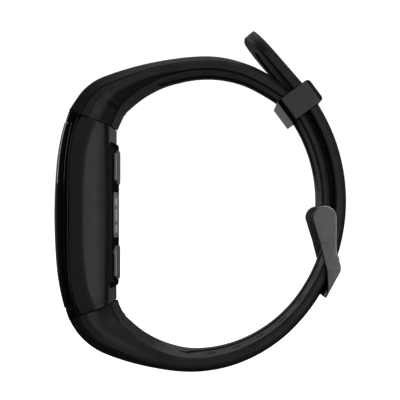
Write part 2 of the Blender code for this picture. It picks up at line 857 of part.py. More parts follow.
upper_walk = Walk(ring_point(INNER_LAYER_OUTER_RADIUS, PIN_ANGLE), PIN_ANGLE + 90, 1)
upper_walk.arc(INNER_LAYER_OUTER_RADIUS, 36.0 - PIN_ANGLE, 2.8)
upper_walk.arc(28.1, 54.6, 2.6)
upper_walk.arc(72.4, 21.2, 3.2)
upper_walk.arc(12.2, 36.8, 1.6)
upper_walk.straight(3.9, 2.0)
upper_sizes = {
    "thick": [
        (0, 10.35),
        (3, 9.9),
        (6, 9.55),
        (10, 8.8),
        (12, 8.55),
        (14, 7.75),
        (18, 6.15),
        (22, 5.0),
        (26, 4.15),
        (30, 3.7),
        (35, 3.25),
        (44, 3.4),
        (56, 3.3),
        (62, INNER_LAYER_THICK),
    ],
    "lift": [(0, 0.05), (5, 0.24), (10, 0.2), (15, 0.3), (30, 0.3), (37, 0.38), (42, 0.2), (47, 0)],
    "wide": [(0, 12.4), (9, 12.0), (26, STRAP_HALF_WIDTH)],
    "shoulder": [(0, 3.2), (8, 2.4), (16, 1.9), (26, 1.2), (60, 0.9)],
    "waist": [(0, 7.1), (9, 6.0), (15, 4.3), (24, 3.1)],
    "outer_edge": [(0, 1.0), (20, 1.6), (60, 1.2)],
    "inner_edge": [(0, 4.4), (10, 3.0), (20, 1.2), (28, 0.5)],
    "channel_from": 24.0,
    "tip": lambda distance: 1.0,
}
sections = []
for point, heading, gone in reversed(upper_walk.points):
    distance = upper_walk.gone - gone
    sections.append(strap_section(point, heading, 1, distance, upper_sizes, -19.1, 1))
upper_strap = loft("upper_strap", sections)

pin_spot = ring_point(PIN_RING_RADIUS, PIN_ANGLE)
lug = rod("strap_lug", (pin_spot[0], 0, pin_spot[1]), "Y", 1.75, 2 * 10.9, 24, cutters)
pin_bore = rod("strap_pin_bore", (pin_spot[0], 0, pin_spot[1]), "Y", PIN_BORE_RADIUS, 30, 16, cutters)
tang_gap = box(
    "tang_gap_cutter",
    (pin_spot[0] - 4, -1.5, pin_spot[1] - 4),
    (pin_spot[0] + 4, 1.5, pin_spot[1] + 2.4),
    cutters,
)
join(upper_strap, lug)
cut(upper_strap, pin_bore, tang_gap)

tip_spot = ring_point(OUTER_LAYER_OUTER_RADIUS, TAIL_ANGLE)
tail_way = math.radians(TAIL_ANGLE + 90)
tip_spot = (
    tip_spot[0] + TAIL_LENGTH * math.cos(tail_way),
    tip_spot[1] + TAIL_LENGTH * math.sin(tail_way),
)
lower_walk = Walk(tip_spot, TAIL_ANGLE - 90, -1)
lower_walk.straight(1.0, 0.5)
lower_walk.straight(7.0, 1.75)
lower_walk.straight(TAIL_LENGTH - 8.0, 5.5)
lower_walk.arc(OUTER_LAYER_OUTER_RADIUS, TAIL_ANGLE + 45.5, 2.9)
lower_walk.arc(36.4, 51.1, 2.4)
lower_walk.arc(67.9, 14.65, 2.9)
lower_walk.arc(16.6, 45.0, 1.6)
lower_length = lower_walk.gone


def tip_narrowing(distance):
    """The tail's end is rounded, as seen from outside."""
    left = lower_length - distance
    if left >= 8.0:
        return 1.0
    return 0.3 + 0.7 * math.sqrt(max(0.0, 1 - ((8.0 - left) / 8.0) ** 2))


lower_sizes = {
    "thick": [
        (0, 10.85),
        (4.5, 10.2),
        (8, 9.35),
        (12, 8.7),
        (14, 8.1),
        (18, 6.4),
        (22, 5.2),
        (26, 4.35),
        (30, 3.8),
        (34, 3.45),
        (53, 3.3),
        (68, OUTER_LAYER_THICK),
    ],
    "lift": [(0, 0.1), (10, 0.15), (18, 0.27), (38, 0.2), (46, 0.12), (56, 0)],
    "wide": [(0, 12.4), (9, 12.0), (26, STRAP_HALF_WIDTH)],
    "shoulder": [(0, 2.7), (8, 2.2), (16, 1.8), (26, 1.2), (60, 0.9)],
    "waist": [(0, 7.1), (9, 6.2), (16, 4.6), (26, 3.1)],
    "outer_edge": [(0, 1.0), (20, 1.6), (60, 1.2)],
    "inner_edge": [(0, 4.4), (10, 3.0), (20, 1.2), (28, 0.5)],
    "channel_from": 33.0,
    "tip": tip_narrowing,
}
sections = []
for point, heading, gone in reversed(lower_walk.points):
    distance = lower_walk.gone - gone
    sections.append(strap_section(point, heading, -1, distance, lower_sizes, 18.0, -1))
lower_strap = loft("lower_strap", sections)

tang_hole_from_tip = TAIL_LENGTH + OUTER_LAYER_OUTER_RADIUS * math.radians(
    TAIL_ANGLE - TANG_HOLE_ANGLE
)
for i in range(-HOLES_TOWARD_TIP, HOLES_TOWARD_BODY + 1):
    target = tang_hole_from_tip + i * HOLE_PITCH
    for first, second in zip(lower_walk.points, lower_walk.points[1:]):
        if first[2] <= target <= second[2]:
            part = (target - first[2]) / (second[2] - first[2])
            spot = [a + (b - a) * part for a, b in zip(first[0], second[0])]
            way = first[1] + (second[1] - first[1]) * part
    flat = (HOLE_LENGTH - HOLE_WIDTH) / 2
    outline = []
    for step in range(HOLE_STEPS):
        turn = 2 * math.pi * (step + 0.5) / HOLE_STEPS
        u = HOLE_WIDTH / 2 * math.cos(turn) + math.copysign(flat, math.cos(turn))
        outline.append((u, HOLE_WIDTH / 2 * math.sin(turn)))
    hole = prism("strap_hole_cutter_%d" % (i + HOLES_TOWARD_TIP), outline, "XY", -6, 6, cutters)
    hole.location = (spot[0] * MM, 0, spot[1] * MM)
    hole.rotation_euler = (0, -math.radians(way), 0)
    cut(lower_strap, hole)

for strap, side, word in ((upper_strap, 1, "upper"), (lower_strap, -1, "lower")):
    low, high = sorted((side * 21.0, side * 26.3))
    neck = box(word + "_neck_cutter", (-7.05, -5.75, low), (-3.8, 5.75, high), cutters)
    low, high = sorted((side * 26.0, side * 28.75))
    head = box(word + "_head_cutter", (-7.05, -7.65, low), (-3.8, 7.65, high), cutters)
    cut(strap, neck, head)
    origin_at(strap, (-5, 0, side * 24.0))
    dress(smooth(strap), (0.012, 0.012, 0.013), 0.62)

    low, high = sorted((side * 19.65, side * 27.0))
    connector = box("strap_connector_" + word, (-6.9, -5.6, low), (-3.95, 5.6, high))
    low, high = sorted((side * 26.15, side * 28.6))
    bar = box(word + "_connector_head", (-6.9, -7.5, low), (-3.95, 7.5, high), cutters)
    low, high = sorted((side * 20.45, side * 21.6))
    notch = box(word + "_connector_notch", (-4.45, -3.5, low), (-3.5, 3.5, high), cutters)
    join(connector, bar)
    cut(connector, notch)
    dress(connector, (0.06, 0.06, 0.062), 0.5)

# ---------------------------------------------------------------- buckle

buckle_pin = rod(
    "buckle_pin",
    (pin_spot[0], 0, pin_spot[1]),
    "Y",
    PIN_RADIUS,
    2 * (ARM_OUTER_Y - 0.15),
    16,
)
dress(smooth(buckle_pin), (0.5, 0.5, 0.51), 0.3, 1.0)

arm_outline = []
for turn in range(-5, 186, 19):
    angle = math.radians(turn)
    arm_outline.append(
        (
            pin_spot[0] + ARM_END_RADIUS * math.cos(angle),
            pin_spot[1] + ARM_END_RADIUS * math.sin(angle),
        )
    )
arm_outline += [
    (pin_spot[0] - 2.2, pin_spot[1] - 3.2),
    ring_point(39.75, -15.0),
    ring_point(43.85, -23.5),
    ring_point(45.95, -28.4),
    ring_point(46.85, PLATE_ANGLE_TIP - 0.3),
    ring_point(47.2, PLATE_ANGLE_TOP + 0.3),
    ring_point(44.5, -16.3),
]
buckle_frame = prism("buckle_frame", arm_outline, "XZ", -ARM_OUTER_Y, -ARM_INNER_Y)
far_arm = prism("buckle_far_arm", arm_outline, "XZ", ARM_INNER_Y, ARM_OUTER_Y, cutters)
middle_angle = (PLATE_ANGLE_TOP + PLATE_ANGLE_TIP) / 2
half_angle = math.radians(PLATE_ANGLE_TOP - PLATE_ANGLE_TIP) / 2
reach_in = PLATE_INNER / math.cos(half_angle)
reach_out = PLATE_OUTER / math.cos(half_angle)
plate_outline = [
    ring_point(reach_in, PLATE_ANGLE_TOP),
    ring_point(reach_out, PLATE_ANGLE_TOP),
    ring_point(reach_out, PLATE_ANGLE_TIP),
    ring_point(reach_in, PLATE_ANGLE_TIP),
]
middle = ARM_INNER_Y + 0.6
front_plate = prism("buckle_front_plate", plate_outline, "XZ", -middle, middle, cutters)
slot_outline = [
    ring_point(44, PLATE_ANGLE_TOP + 1.0),
    ring_point(50, PLATE_ANGLE_TOP + 1.0),
    ring_point(50, -26.2),
    ring_point(44, -26.2),
]
tang_slot = prism("tang_slot_cutter", slot_outline, "XZ", -1.15, 1.15, cutters)
arm_bore = rod(
    "buckle_pin_bore",
    (pin_spot[0], 0, pin_spot[1]),
    "Y",
    PIN_BORE_RADIUS,
    40,
    16,
    cutters,
)
join(buckle_frame, far_arm, front_plate)
cut(buckle_frame, tang_slot, arm_bore)
origin_at(buckle_frame, (pin_spot[0], 0, pin_spot[1]))
dress(buckle_frame, (0.2, 0.2, 0.205), 0.36, 0.95)

tang_line = [
    (PIN_RING_RADIUS + 0.15, PIN_ANGLE),
    (40.7, -11.0),
    (41.2, -15.6),
    (42.1, -16.95),
    (45.7, -17.7),
    (46.5, -18.7),
    (46.75, -21.5),
    (46.65, -25.2),
]
tang_points = [Vector(ring_point(radius, angle)) for radius, angle in tang_line]
outer_side, inner_side = [], []
for i, here in enumerate(tang_points):
    before = tang_points[max(i - 1, 0)]
    after = tang_points[min(i + 1, len(tang_points) - 1)]
    first = (here - before).normalized() if i else (after - here).normalized()
    second = (after - here).normalized() if i < len(tang_points) - 1 else first
    bisector = (first + second).normalized()
    across = Vector((-bisector.y, bisector.x))
    reach = TANG_THICK / 2 / max(0.75, first.dot(bisector))
    outer_side.append(tuple(here + across * reach))
    inner_side.append(tuple(here - across * reach))
tang_outline = outer_side + list(reversed(inner_side))
buckle_tang = prism("buckle_tang", tang_outline, "XZ", -TANG_HALF_WIDTH, TANG_HALF_WIDTH)
tang_hub = rod("tang_hub", (pin_spot[0], 0, pin_spot[1]), "Y", 1.5, 2.4, 16, cutters)
tang_bore = rod("tang_bore", (pin_spot[0], 0, pin_spot[1]), "Y", PIN_BORE_RADIUS, 6, 16, cutters)
join(buckle_tang, tang_hub)
cut(buckle_tang, tang_bore)
origin_at(buckle_tang, (pin_spot[0], 0, pin_spot[1]))
dress(buckle_tang, (0.22, 0.22, 0.225), 0.34, 0.95)

# ---------------------------------------------------------------- keeper loop


def keeper_outline(half_width, low, high, chamfer):
    return [
        (half_width, low + chamfer),
        (half_width, high - chamfer),
        (half_width - chamfer, high),
        (chamfer - half_width, high),
        (-half_width, high - chamfer),
        (-half_width, low + chamfer),
        (chamfer - half_width, low),
        (half_width - chamfer, low),
    ]


half = KEEPER_LENGTH / 2
keeper_loop = prism(
    "keeper_loop",
    [(v, u) for u, v in keeper_outline(KEEPER_HALF_WIDTH, KEEPER_INNER, KEEPER_OUTER, KEEPER_CHAMFER)],
    "XY",
    -half,
    half,
)
rounded(keeper_loop, 0.25, 1)
opening = prism(
    "keeper_opening_cutter",
    [
        (v, u)
        for u, v in keeper_outline(
            KEEPER_OPENING_HALF, KEEPER_OPENING_INNER, KEEPER_OPENING_OUTER, 0.4
        )
    ],
    "XY",
    -10,
    10,
    cutters,
)
cut(keeper_loop, opening)
for piece in (keeper_loop, opening):
    piece.location = (RING_CENTRE[0] * MM, 0, RING_CENTRE[1] * MM)
    piece.rotation_euler = (0, -math.radians(KEEPER_ANGLE), 0)
dress(keeper_loop, (0.03, 0.03, 0.031), 0.55)
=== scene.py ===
import json
from math import acos, cos, copysign, degrees, pi, radians, sin, sqrt, tan

import bmesh
import bpy
from mathutils import Matrix, Vector


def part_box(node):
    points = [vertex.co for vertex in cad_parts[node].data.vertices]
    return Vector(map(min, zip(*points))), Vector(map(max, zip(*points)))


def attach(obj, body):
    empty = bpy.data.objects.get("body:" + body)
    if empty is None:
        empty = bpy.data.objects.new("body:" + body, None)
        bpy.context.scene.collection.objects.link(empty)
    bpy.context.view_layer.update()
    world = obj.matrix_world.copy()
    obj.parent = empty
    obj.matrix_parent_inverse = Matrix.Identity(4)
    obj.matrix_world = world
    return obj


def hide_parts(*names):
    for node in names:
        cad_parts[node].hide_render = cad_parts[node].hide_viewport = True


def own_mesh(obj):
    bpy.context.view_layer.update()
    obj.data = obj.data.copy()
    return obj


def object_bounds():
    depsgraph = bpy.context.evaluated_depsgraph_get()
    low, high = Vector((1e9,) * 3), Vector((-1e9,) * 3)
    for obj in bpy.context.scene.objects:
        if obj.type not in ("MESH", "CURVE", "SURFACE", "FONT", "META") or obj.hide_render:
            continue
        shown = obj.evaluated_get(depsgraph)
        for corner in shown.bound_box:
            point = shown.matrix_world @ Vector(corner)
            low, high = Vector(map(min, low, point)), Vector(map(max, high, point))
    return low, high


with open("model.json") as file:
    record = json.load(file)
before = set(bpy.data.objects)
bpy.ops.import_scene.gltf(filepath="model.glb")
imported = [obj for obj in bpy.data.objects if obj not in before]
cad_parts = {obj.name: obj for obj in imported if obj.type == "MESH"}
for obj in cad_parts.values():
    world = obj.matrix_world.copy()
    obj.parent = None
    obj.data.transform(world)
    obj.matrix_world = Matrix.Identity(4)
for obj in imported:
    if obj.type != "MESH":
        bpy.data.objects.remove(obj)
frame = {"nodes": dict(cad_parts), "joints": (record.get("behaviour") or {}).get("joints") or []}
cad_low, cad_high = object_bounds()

MM = 0.001

# ---- the frame, in mm


def node_box(node):
    """Lowest and highest corner of a CAD node, in mm."""
    low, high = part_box(node)
    return [v / MM for v in low], [v / MM for v in high]


def node_middle(node):
    """Middle of a CAD node across and along the strap, in mm."""
    low, high = node_box(node)
    return (low[1] + high[1]) / 2, (low[2] + high[2]) / 2


def joint_row(name):
    return next(joint for joint in frame["joints"] if joint["name"] == name)


def joint_spot(name):
    """Where a joint sits in the XZ plane, in mm."""
    place = joint_row(name)["pos_m"]
    return place[0] / MM, place[2] / MM


PIN = joint_spot("buckle_swing")
RING_CENTRE = joint_spot("keeper_slide")

# Tracker body: a shallow arch in front, a bowl behind
GLASS_LOW, GLASS_HIGH = node_box("front_glass")
FRONT_X = GLASS_LOW[0]
GLASS_HALF_WIDTH = GLASS_HIGH[1]
GLASS_HALF_LENGTH = GLASS_HIGH[2]
ARCH_FLAT_RADIUS = 151.0
ARCH_FLAT_ANGLE = 4.73
ARCH_END_RADIUS = 54.0
GLASS_EDGE_DROP = 2.5
GLASS_EDGE_DROP_END = 2.1
GLASS_THICK = 0.9
RIM_X = -10.75
RIM_X_END = -7.35
SIDE_EDGE_X = -7.1
SIDE_EDGE_SWEEP = 3.3
BODY_HALF_WIDTH = node_box("main_housing")[1][1]
BACK_X = node_box("main_housing")[1][0]
SEAM_FRONT = (-10.2, 25.9)
SEAM_BACK = (1.05, 22.0)
SEAM_GAP = 0.07
LEVEL_HALF = 17.0
LEVEL_SHARE = 0.62

# Wrist-side cover, sensor and buttons
COVER_LOW, COVER_HIGH = node_box("back_cover")
COVER_FACE_X = COVER_HIGH[0]
WINDOW_LOW, WINDOW_HIGH = node_box("sensor_window")
BUTTON_GAP = 0.25
BUTTON_EDGE = 0.28

# Strap
STRAP_HALF_WIDTH = 11.0
INNER_LAYER_OUTER_RADIUS = 41.65
OUTER_LAYER_OUTER_RADIUS = 45.37
OUTER_LAYER_THICK = 2.95
CROWN_HEIGHT = 0.85
CROWN_LENGTH = 20.0
TAIL_ANGLE = 40.8
TAIL_LENGTH = 18.5
CHANNEL_HALF_WIDTH = 6.2
CHANNEL_DEPTH = 0.45
CHANNEL_WALL = 0.25
GROOVE_HALF = 0.2
GROOVE_DEPTH = 0.32
HOLE_PITCH = 7.5
HOLE_LENGTH = 2.8
HOLE_WIDTH = 2.1
TANG_HOLE_ANGLE = -17.4
HOLES_TOWARD_TIP = 2
HOLES_TOWARD_BODY = 7
STRAP_GREY = 0.014

# Buckle and keeper
ARM_INNER_Y = 11.35
ARM_OUTER_Y = node_box("buckle_frame")[1][1]
ARM_END_RADIUS = 3.05
PLATE_ANGLE_TOP = -21.4
PLATE_ANGLE_TIP = -31.1
PLATE_INNER = 45.75
PLATE_OUTER = 46.85
PIN_ANGLE = -6.2
PIN_RADIUS = 0.75
PIN_BORE = 0.83
LUG_RADIUS = 1.75
HUB_RADIUS = 1.5
TANG_HALF_THICK = 0.55
TANG_HALF_WIDTH = 0.75
KEEPER_ANGLE = 36.4
KEEPER_LENGTH = 6.4
KEEPER_HALF_WIDTH = node_box("keeper_loop")[1][1]
KEEPER_INNER = 37.15
KEEPER_OUTER = 46.95
KEEPER_OPENING_HALF = 11.4
KEEPER_OPENING_INNER = 38.55
KEEPER_OPENING_OUTER = 45.6
KEEPER_CHAMFER = 1.2
KEEPER_CORNER = 1.1

# ---- small sums


def eased(part):
    part = min(max(part, 0.0), 1.0)
    return part * part * (3 - 2 * part)


def between(table, at):
    """A value at a distance, from a short list of (distance, value)."""
    if at <= table[0][0]:
        return table[0][1]
    for (start, low), (end, high) in zip(table, table[1:]):
        if at <= end:
            return low + (high - low) * (at - start) / (end - start)
    return table[-1][1]


def softly_between(table, at, reach=2.5):
    """The same, with the bends of the table rounded off."""
    spots = [at + reach * step / 4 for step in range(-4, 5)]
    first, last = table[0][0], table[-1][0]
    room = min(max(at - first, 0), max(last - at, 0), reach) / reach
    if room < 1:
        spots = [at + (spot - at) * room for spot in spots]
    return sum(between(table, spot) for spot in spots) / len(spots)


def turned_about(centre, radius, turn):
    return centre[0] + radius * cos(turn), centre[1] + radius * sin(turn)


def ring_point(radius, angle):
    """A point in the XZ plane by radius and angle about the centre of the strap rings."""
    return turned_about(RING_CENTRE, radius, radians(angle))


def rounded_line(points, radii, steps=4, closed=False):
    """A line of 2D points with an arc in place of each corner, always with the same count."""
    made = []
    count = len(points)
    for i, here in enumerate(points):
        radius = radii[i] if isinstance(radii, (list, tuple)) else radii
        if radius <= 0 or (not closed and i in (0, count - 1)):
            made.append(tuple(here))
            continue
        here = Vector(here)
        before = Vector(points[i - 1])
        after = Vector(points[(i + 1) % count])
        way_in = (here - before).normalized()
        way_out = (after - here).normalized()
        bend = max(-1.0, min(1.0, way_in.dot(way_out)))
        half_turn = acos(bend) / 2
        if half_turn < 1e-3:
            made += [tuple(here)] * (steps + 1)
            continue
        reach = radius * tan(half_turn)
        room = 0.48 * min((here - before).length, (after - here).length)
        reach = min(reach, room)
        start = here - way_in * reach
        end = here + way_out * reach
        for step in range(steps + 1):
            t = step / steps
            made.append(tuple(start * (1 - t) ** 2 + here * (2 * t * (1 - t)) + end * t * t))
    return made


def smooth_curve(points, steps):
    """Points along a Catmull-Rom curve through the given ones."""
    spots = [Vector(point) for point in points]
    spots = [spots[0] * 2 - spots[1]] + spots + [spots[-1] * 2 - spots[-2]]
    made = []
    for a, b, c, d in zip(spots, spots[1:], spots[2:], spots[3:]):
        for step in range(steps):
            t = step / steps
            bend = (a * 2 - b * 5 + c * 4 - d) * t * t + (b * 3 - a - c * 3 + d) * t**3
            made.append(tuple((b * 2 + (c - a) * t + bend) / 2))
    made.append(tuple(spots[-2]))
    return made


def rounded_rectangle(half_u, half_v, corner, steps=8, centre=(0, 0)):
    points = []
    corners = (
        (half_u - corner, half_v - corner, 0), (corner - half_u, half_v - corner, 90),
        (corner - half_u, corner - half_v, 180), (half_u - corner, corner - half_v, 270),
    )
    for u, v, start in corners:
        for i in range(steps + 1):
            angle = radians(start + 90 * i / steps)
            points.append(turned_about((centre[0] + u, centre[1] + v), corner, angle))
    return points


def circle(radius, centre=(0, 0), steps=32):
    return [turned_about(centre, radius, 2 * pi * i / steps) for i in range(steps)]


# ---- mesh building


def linked(name, data):
    """A new object in the scene."""
    obj = bpy.data.objects.new(name, data)
    bpy.context.scene.collection.objects.link(obj)
    return obj


def aimed(obj, spot, way):
    """Puts a light or a camera at a spot and points it along a way."""
    obj.location = spot
    obj.rotation_mode = "QUATERNION"
    obj.rotation_quaternion = way.to_track_quat("-Z", "Y")


def evaluated_mesh(obj):
    """A new mesh of the object as its modifiers or its curve settings make it."""
    graph = bpy.context.evaluated_depsgraph_get()
    return bpy.data.meshes.new_from_object(obj.evaluated_get(graph))


def object_from(name, built, sharp=32):
    """An object from a bmesh, smooth except along edges that turn more than sharp degrees."""
    bmesh.ops.recalc_face_normals(built, faces=built.faces)
    mesh = bpy.data.meshes.new(name)
    built.to_mesh(mesh)
    built.free()
    obj = linked(name, mesh)
    smooth(obj, sharp)
    return obj


def smooth(obj, sharp=32):
    for face in obj.data.polygons:
        face.use_smooth = True
    obj.data.set_sharp_from_angle(angle=radians(sharp))


def loft(name, sections, sharp=32):
    """A closed body through rings that all have the same number of points, in mm."""
    built = bmesh.new()
    rings = [[built.verts.new(Vector(point) * MM) for point in section] for section in sections]
    count = len(rings[0])
    for first, second in zip(rings, rings[1:]):
        for i in range(count):
            j = (i + 1) % count
            built.faces.new((first[i], first[j], second[j], second[i]))
    built.faces.new(rings[0])
    built.faces.new(rings[-1])
    bmesh.ops.remove_doubles(built, verts=built.verts, dist=1e-7)
    return object_from(name, built, sharp)


# The axes of a drawing's u, of its v and of its height, as the columns of a matrix
PLANES = {
    "YZ": ((0, 0, 1), (1, 0, 0), (0, 1, 0)), "XZ": ((1, 0, 0), (0, 0, 1), (0, 1, 0)),
    "XY": ((1, 0, 0), (0, 1, 0), (0, 0, 1)),
}


def plate(name, outlines, plane, low, high, edge=0.0, edge_steps=3, sharp=32):
    """A flat shape with holes, pushed between two heights, with its edges rounded by edge mm."""
    curve = bpy.data.curves.new(name + "_outline", "CURVE")
    curve.dimensions = "2D"
    curve.fill_mode = "BOTH"
    curve.extrude = (abs(high - low) / 2 - edge) * MM
    curve.bevel_depth = edge * MM
    curve.bevel_resolution = edge_steps
    curve.offset = -edge * MM
    for outline in outlines:
        line = curve.splines.new("POLY")
        line.points.add(len(outline) - 1)
        line.use_cyclic_u = True
        for spot, (u, v) in zip(line.points, outline):
            spot.co = (u * MM, v * MM, 0, 1)
    holder = linked(name + "_outline", curve)
    mesh = evaluated_mesh(holder)
    bpy.data.objects.remove(holder, do_unlink=True)
    turn = Matrix(PLANES[plane])
    mesh.transform(Matrix.Translation(turn.col[2] * (low + high) / 2 * MM) @ turn.to_4x4())
    built = bmesh.new()
    built.from_mesh(mesh)
    bpy.data.meshes.remove(mesh)
    bmesh.ops.remove_doubles(built, verts=built.verts, dist=1e-7)
    return object_from(name, built, sharp)


def bar(name, low, high, edge=0.0):
    """A block between two corners, in mm, with rounded edges."""
    (x0, y0, z0), (x1, y1, z1) = low, high
    outline = rounded_rectangle((y1 - y0) / 2, (z1 - z0) / 2, max(edge, 0.02), 3)
    outline = [(u + (y0 + y1) / 2, v + (z0 + z1) / 2) for u, v in outline]
    return plate(name, [outline], "YZ", x0, x1, edge)


def rod(name, centre, axis, radius, length, edge=0.0, steps=48):
    """A round bar along X or Y about its centre, in mm."""
    x, y, z = centre
    plane, middle, spot = ("YZ", x, (y, z)) if axis == "X" else ("XZ", y, (x, z))
    outline = circle(radius, spot, steps)
    return plate(name, [outline], plane, middle - length / 2, middle + length / 2, edge)


def put_at(spot):
    """The move from the origin to a spot in the XZ plane, in mm."""
    return Matrix.Translation((spot[0] * MM, 0, spot[1] * MM))


def carve(obj, cutters=(), joined=(), sharp=32):
    """Joins some bodies to an object, cuts others out of it, and removes them all."""
    for operation, others in (("UNION", joined), ("DIFFERENCE", cutters)):
        for other in others:
            step = obj.modifiers.new(operation.lower(), "BOOLEAN")
            step.operation = operation
            step.solver = "EXACT"
            step.object = other
    bpy.context.view_layer.update()
    old, obj.data = obj.data, evaluated_mesh(obj)
    obj.modifiers.clear()
    bpy.data.meshes.remove(old)
    obj.data.name = obj.name
    smooth(obj, sharp)
    for other in (*cutters, *joined):
        bpy.data.objects.remove(other, do_unlink=True)
    return obj


def merged(name, objs, sharp=32):
    """One object that holds several closed bodies."""
    built = bmesh.new()
    for obj in objs:
        obj.data.transform(obj.matrix_world)
        built.from_mesh(obj.data)
        bpy.data.objects.remove(obj, do_unlink=True)
    return object_from(name, built, sharp)


def finished(obj, recipe, body, node):
    """Puts a material on a piece, keeps its flat faces flat beside rounded edges and places it."""
    wear_on(obj, recipe)
    obj.modifiers.new("even_normals", "WEIGHTED_NORMAL").keep_sharp = True
    placed(obj, body, node)


def placed(obj, body, node):
    """The piece rides on a body and stands for a CAD node, which is hidden."""
    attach(obj, body)
    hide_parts(node)


# ---- material building


class Nodes:
    """A node tree, built node by node."""

    def __init__(self, tree):
        self.tree = tree

    def add(self, kind, links=None, **values):
        """A node with its settings, and its inputs fed by numbers, colours or other nodes."""
        node = self.tree.nodes.new("ShaderNode" + kind)
        for key, value in values.items():
            setattr(node, key, value)
        for key, value in (links or {}).items():
            self.feed(node.inputs[key], value)
        return node

    def feed(self, socket, value):
        if isinstance(value, bpy.types.NodeSocket):
            self.tree.links.new(value, socket)
        elif isinstance(value, tuple) and len(value) == 3 and socket.type == "RGBA":
            socket.default_value = (*value, 1.0)
        else:
            socket.default_value = value

    def ranged(self, value, low, high, start=0.3, end=0.7, way="LINEAR"):
        """Low to high while a value goes from start to end."""
        links = {"Value": value, "From Min": start, "From Max": end, "To Min": low, "To Max": high}
        return self.add("MapRange", links, interpolation_type=way).outputs["Result"]

    def sum(self, operation, first, second=0.5, clamp=False):
        links = {0: first, 1: second}
        return self.add("Math", links, operation=operation, use_clamp=clamp).outputs[0]

    def times(self, first, second):
        return self.sum("MULTIPLY", first, second)

    def mixed(self, share, first, second):
        links = {0: share, 6: first, 7: second}
        return self.add("Mix", links, data_type="RGBA").outputs[2]


class Recipe(Nodes):
    """A material whose shader the nodes feed."""

    def __init__(self, name):
        self.made = bpy.data.materials.new(name)
        self.made.use_nodes = True
        super().__init__(self.made.node_tree)
        self.shader = self.tree.nodes["Principled BSDF"]
        self.where = self.add("TexCoord").outputs["Object"]

    def fed(self, name):
        """What feeds an input of the final shader."""
        return self.shader.inputs[name].links[0].from_socket

    def coloured(self, share, colour):
        """Lays a colour over the base colour where the share is 1."""
        return self.set(Base_Color=self.mixed(share, self.fed("Base Color"), colour))

    def place(self):
        """The three coordinates of a point on the object."""
        return self.add("SeparateXYZ", {"Vector": self.where}).outputs

    def set(self, **inputs):
        """Feeds inputs of the final shader; an underscore in a name stands for a space."""
        for key, value in inputs.items():
            self.feed(self.shader.inputs[key.replace("_", " ")], value)
        return self

    def noise(self, size, detail=2.0, roughness=0.5, stretch=None):
        """Soft noise whose lumps are about size mm across."""
        vector = self.where
        if stretch:
            vector = self.add("Mapping", {"Vector": vector, "Scale": stretch}).outputs[0]
        links = {"Vector": vector, "Scale": 1 / (size * MM), "Detail": detail}
        return self.add("TexNoise", {**links, "Roughness": roughness}).outputs["Fac"]

    def bump(self, height, strength, depth):
        """A bump map whose relief is depth mm."""
        links = {"Height": height, "Strength": strength, "Distance": depth * MM}
        return self.add("Bump", links).outputs["Normal"]

    def edges(self, radius, sharpness=14.0):
        """1 along edges and 0 on open faces."""
        bevel = self.add("Bevel", {"Radius": radius * MM}, samples=6).outputs["Normal"]
        plain = self.add("NewGeometry").outputs["Normal"]
        alike = self.add("VectorMath", {0: bevel, 1: plain}, operation="DOT_PRODUCT")
        away = self.sum("SUBTRACT", 1.0, alike.outputs["Value"])
        return self.sum("MULTIPLY", away, sharpness, clamp=True)

    def facing(self):
        """How far a face looks across the strap (0 to 1), and how far it looks up and out."""
        normal = self.add("NewGeometry").outputs["Normal"]
        split = self.add("SeparateXYZ", {"Vector": normal}).outputs
        across = self.sum("ABSOLUTE", split["Y"])
        return across, self.sum("ADD", split["X"], self.times(split["Z"], 0.8))

    def crevices(self, reach=0.7):
        """1 deep in grooves and gaps and 0 on open faces, from ambient occlusion; used to paint shade
        into them.
        """
        links = {"Distance": reach * MM}
        shade = self.add("AmbientOcclusion", links, samples=8).outputs["AO"]
        return self.ranged(shade, 1.0, 0.0, 0.35, 0.85)


def grey(level, tint=(1.0, 1.0, 1.0)):
    return tuple(level * part for part in tint)


def moulded(name, dark, light, rough, grain=0.22, relief=0.012, wear_and_highlight=0.0, specular=0.5):
    """Moulded plastic or rubber: a spark-eroded grain, a soft mottle, painted shade in grooves and
    gaps, and slightly polished, lighter edges that are partly wear and partly painted highlight.
    """
    recipe = Recipe(name)
    mottle = recipe.noise(3.2, 3.0)
    fine = recipe.noise(grain, 3.0, 0.6)
    colour = recipe.mixed(recipe.ranged(mottle, 0, 1), dark, light)
    low, high = rough
    roughness = recipe.ranged(mottle, high, low)
    roughness = recipe.sum("ADD", roughness, recipe.ranged(fine, -0.03, 0.03))
    if wear_and_highlight:
        # Edges lighter and less rough: partly rubbed wear and partly painted highlight.
        worn_and_highlit_edges = recipe.times(recipe.edges(0.22), recipe.ranged(fine, 0.3, 1.0))
        brighter = tuple(part * 2.2 + 0.004 for part in light)
        colour = recipe.mixed(recipe.times(worn_and_highlit_edges, wear_and_highlight), colour, brighter)
        roughness = recipe.sum("SUBTRACT", roughness, recipe.times(worn_and_highlit_edges, 0.12 * wear_and_highlight))
    # Painted shade: grooves and gaps are painted near black and lose their reflection.
    painted_crevice_shade = recipe.crevices()
    shine = recipe.times(recipe.sum("SUBTRACT", 1.0, painted_crevice_shade), specular)
    return recipe.set(
        Base_Color=recipe.mixed(painted_crevice_shade, colour, grey(0.0012)), Roughness=roughness,
        Specular_IOR_Level=shine, Normal=recipe.bump(fine, 0.55, relief),
    )


def silicone(name, level):
    """Matt strap rubber: velvety at grazing angles, with a fine grain and a few dust specks."""
    recipe = moulded(
        name, grey(level * 0.8), grey(level * 1.25), (0.42, 0.52), grain=0.3, relief=0.02, wear_and_highlight=0.8,
    )
    specks = recipe.ranged(recipe.noise(0.5, 1.0), 0, 1, 0.78, 0.84)
    recipe.coloured(recipe.times(specks, 0.35), grey(0.09))
    return recipe.set(Sheen_Weight=0.04, Sheen_Roughness=0.5)


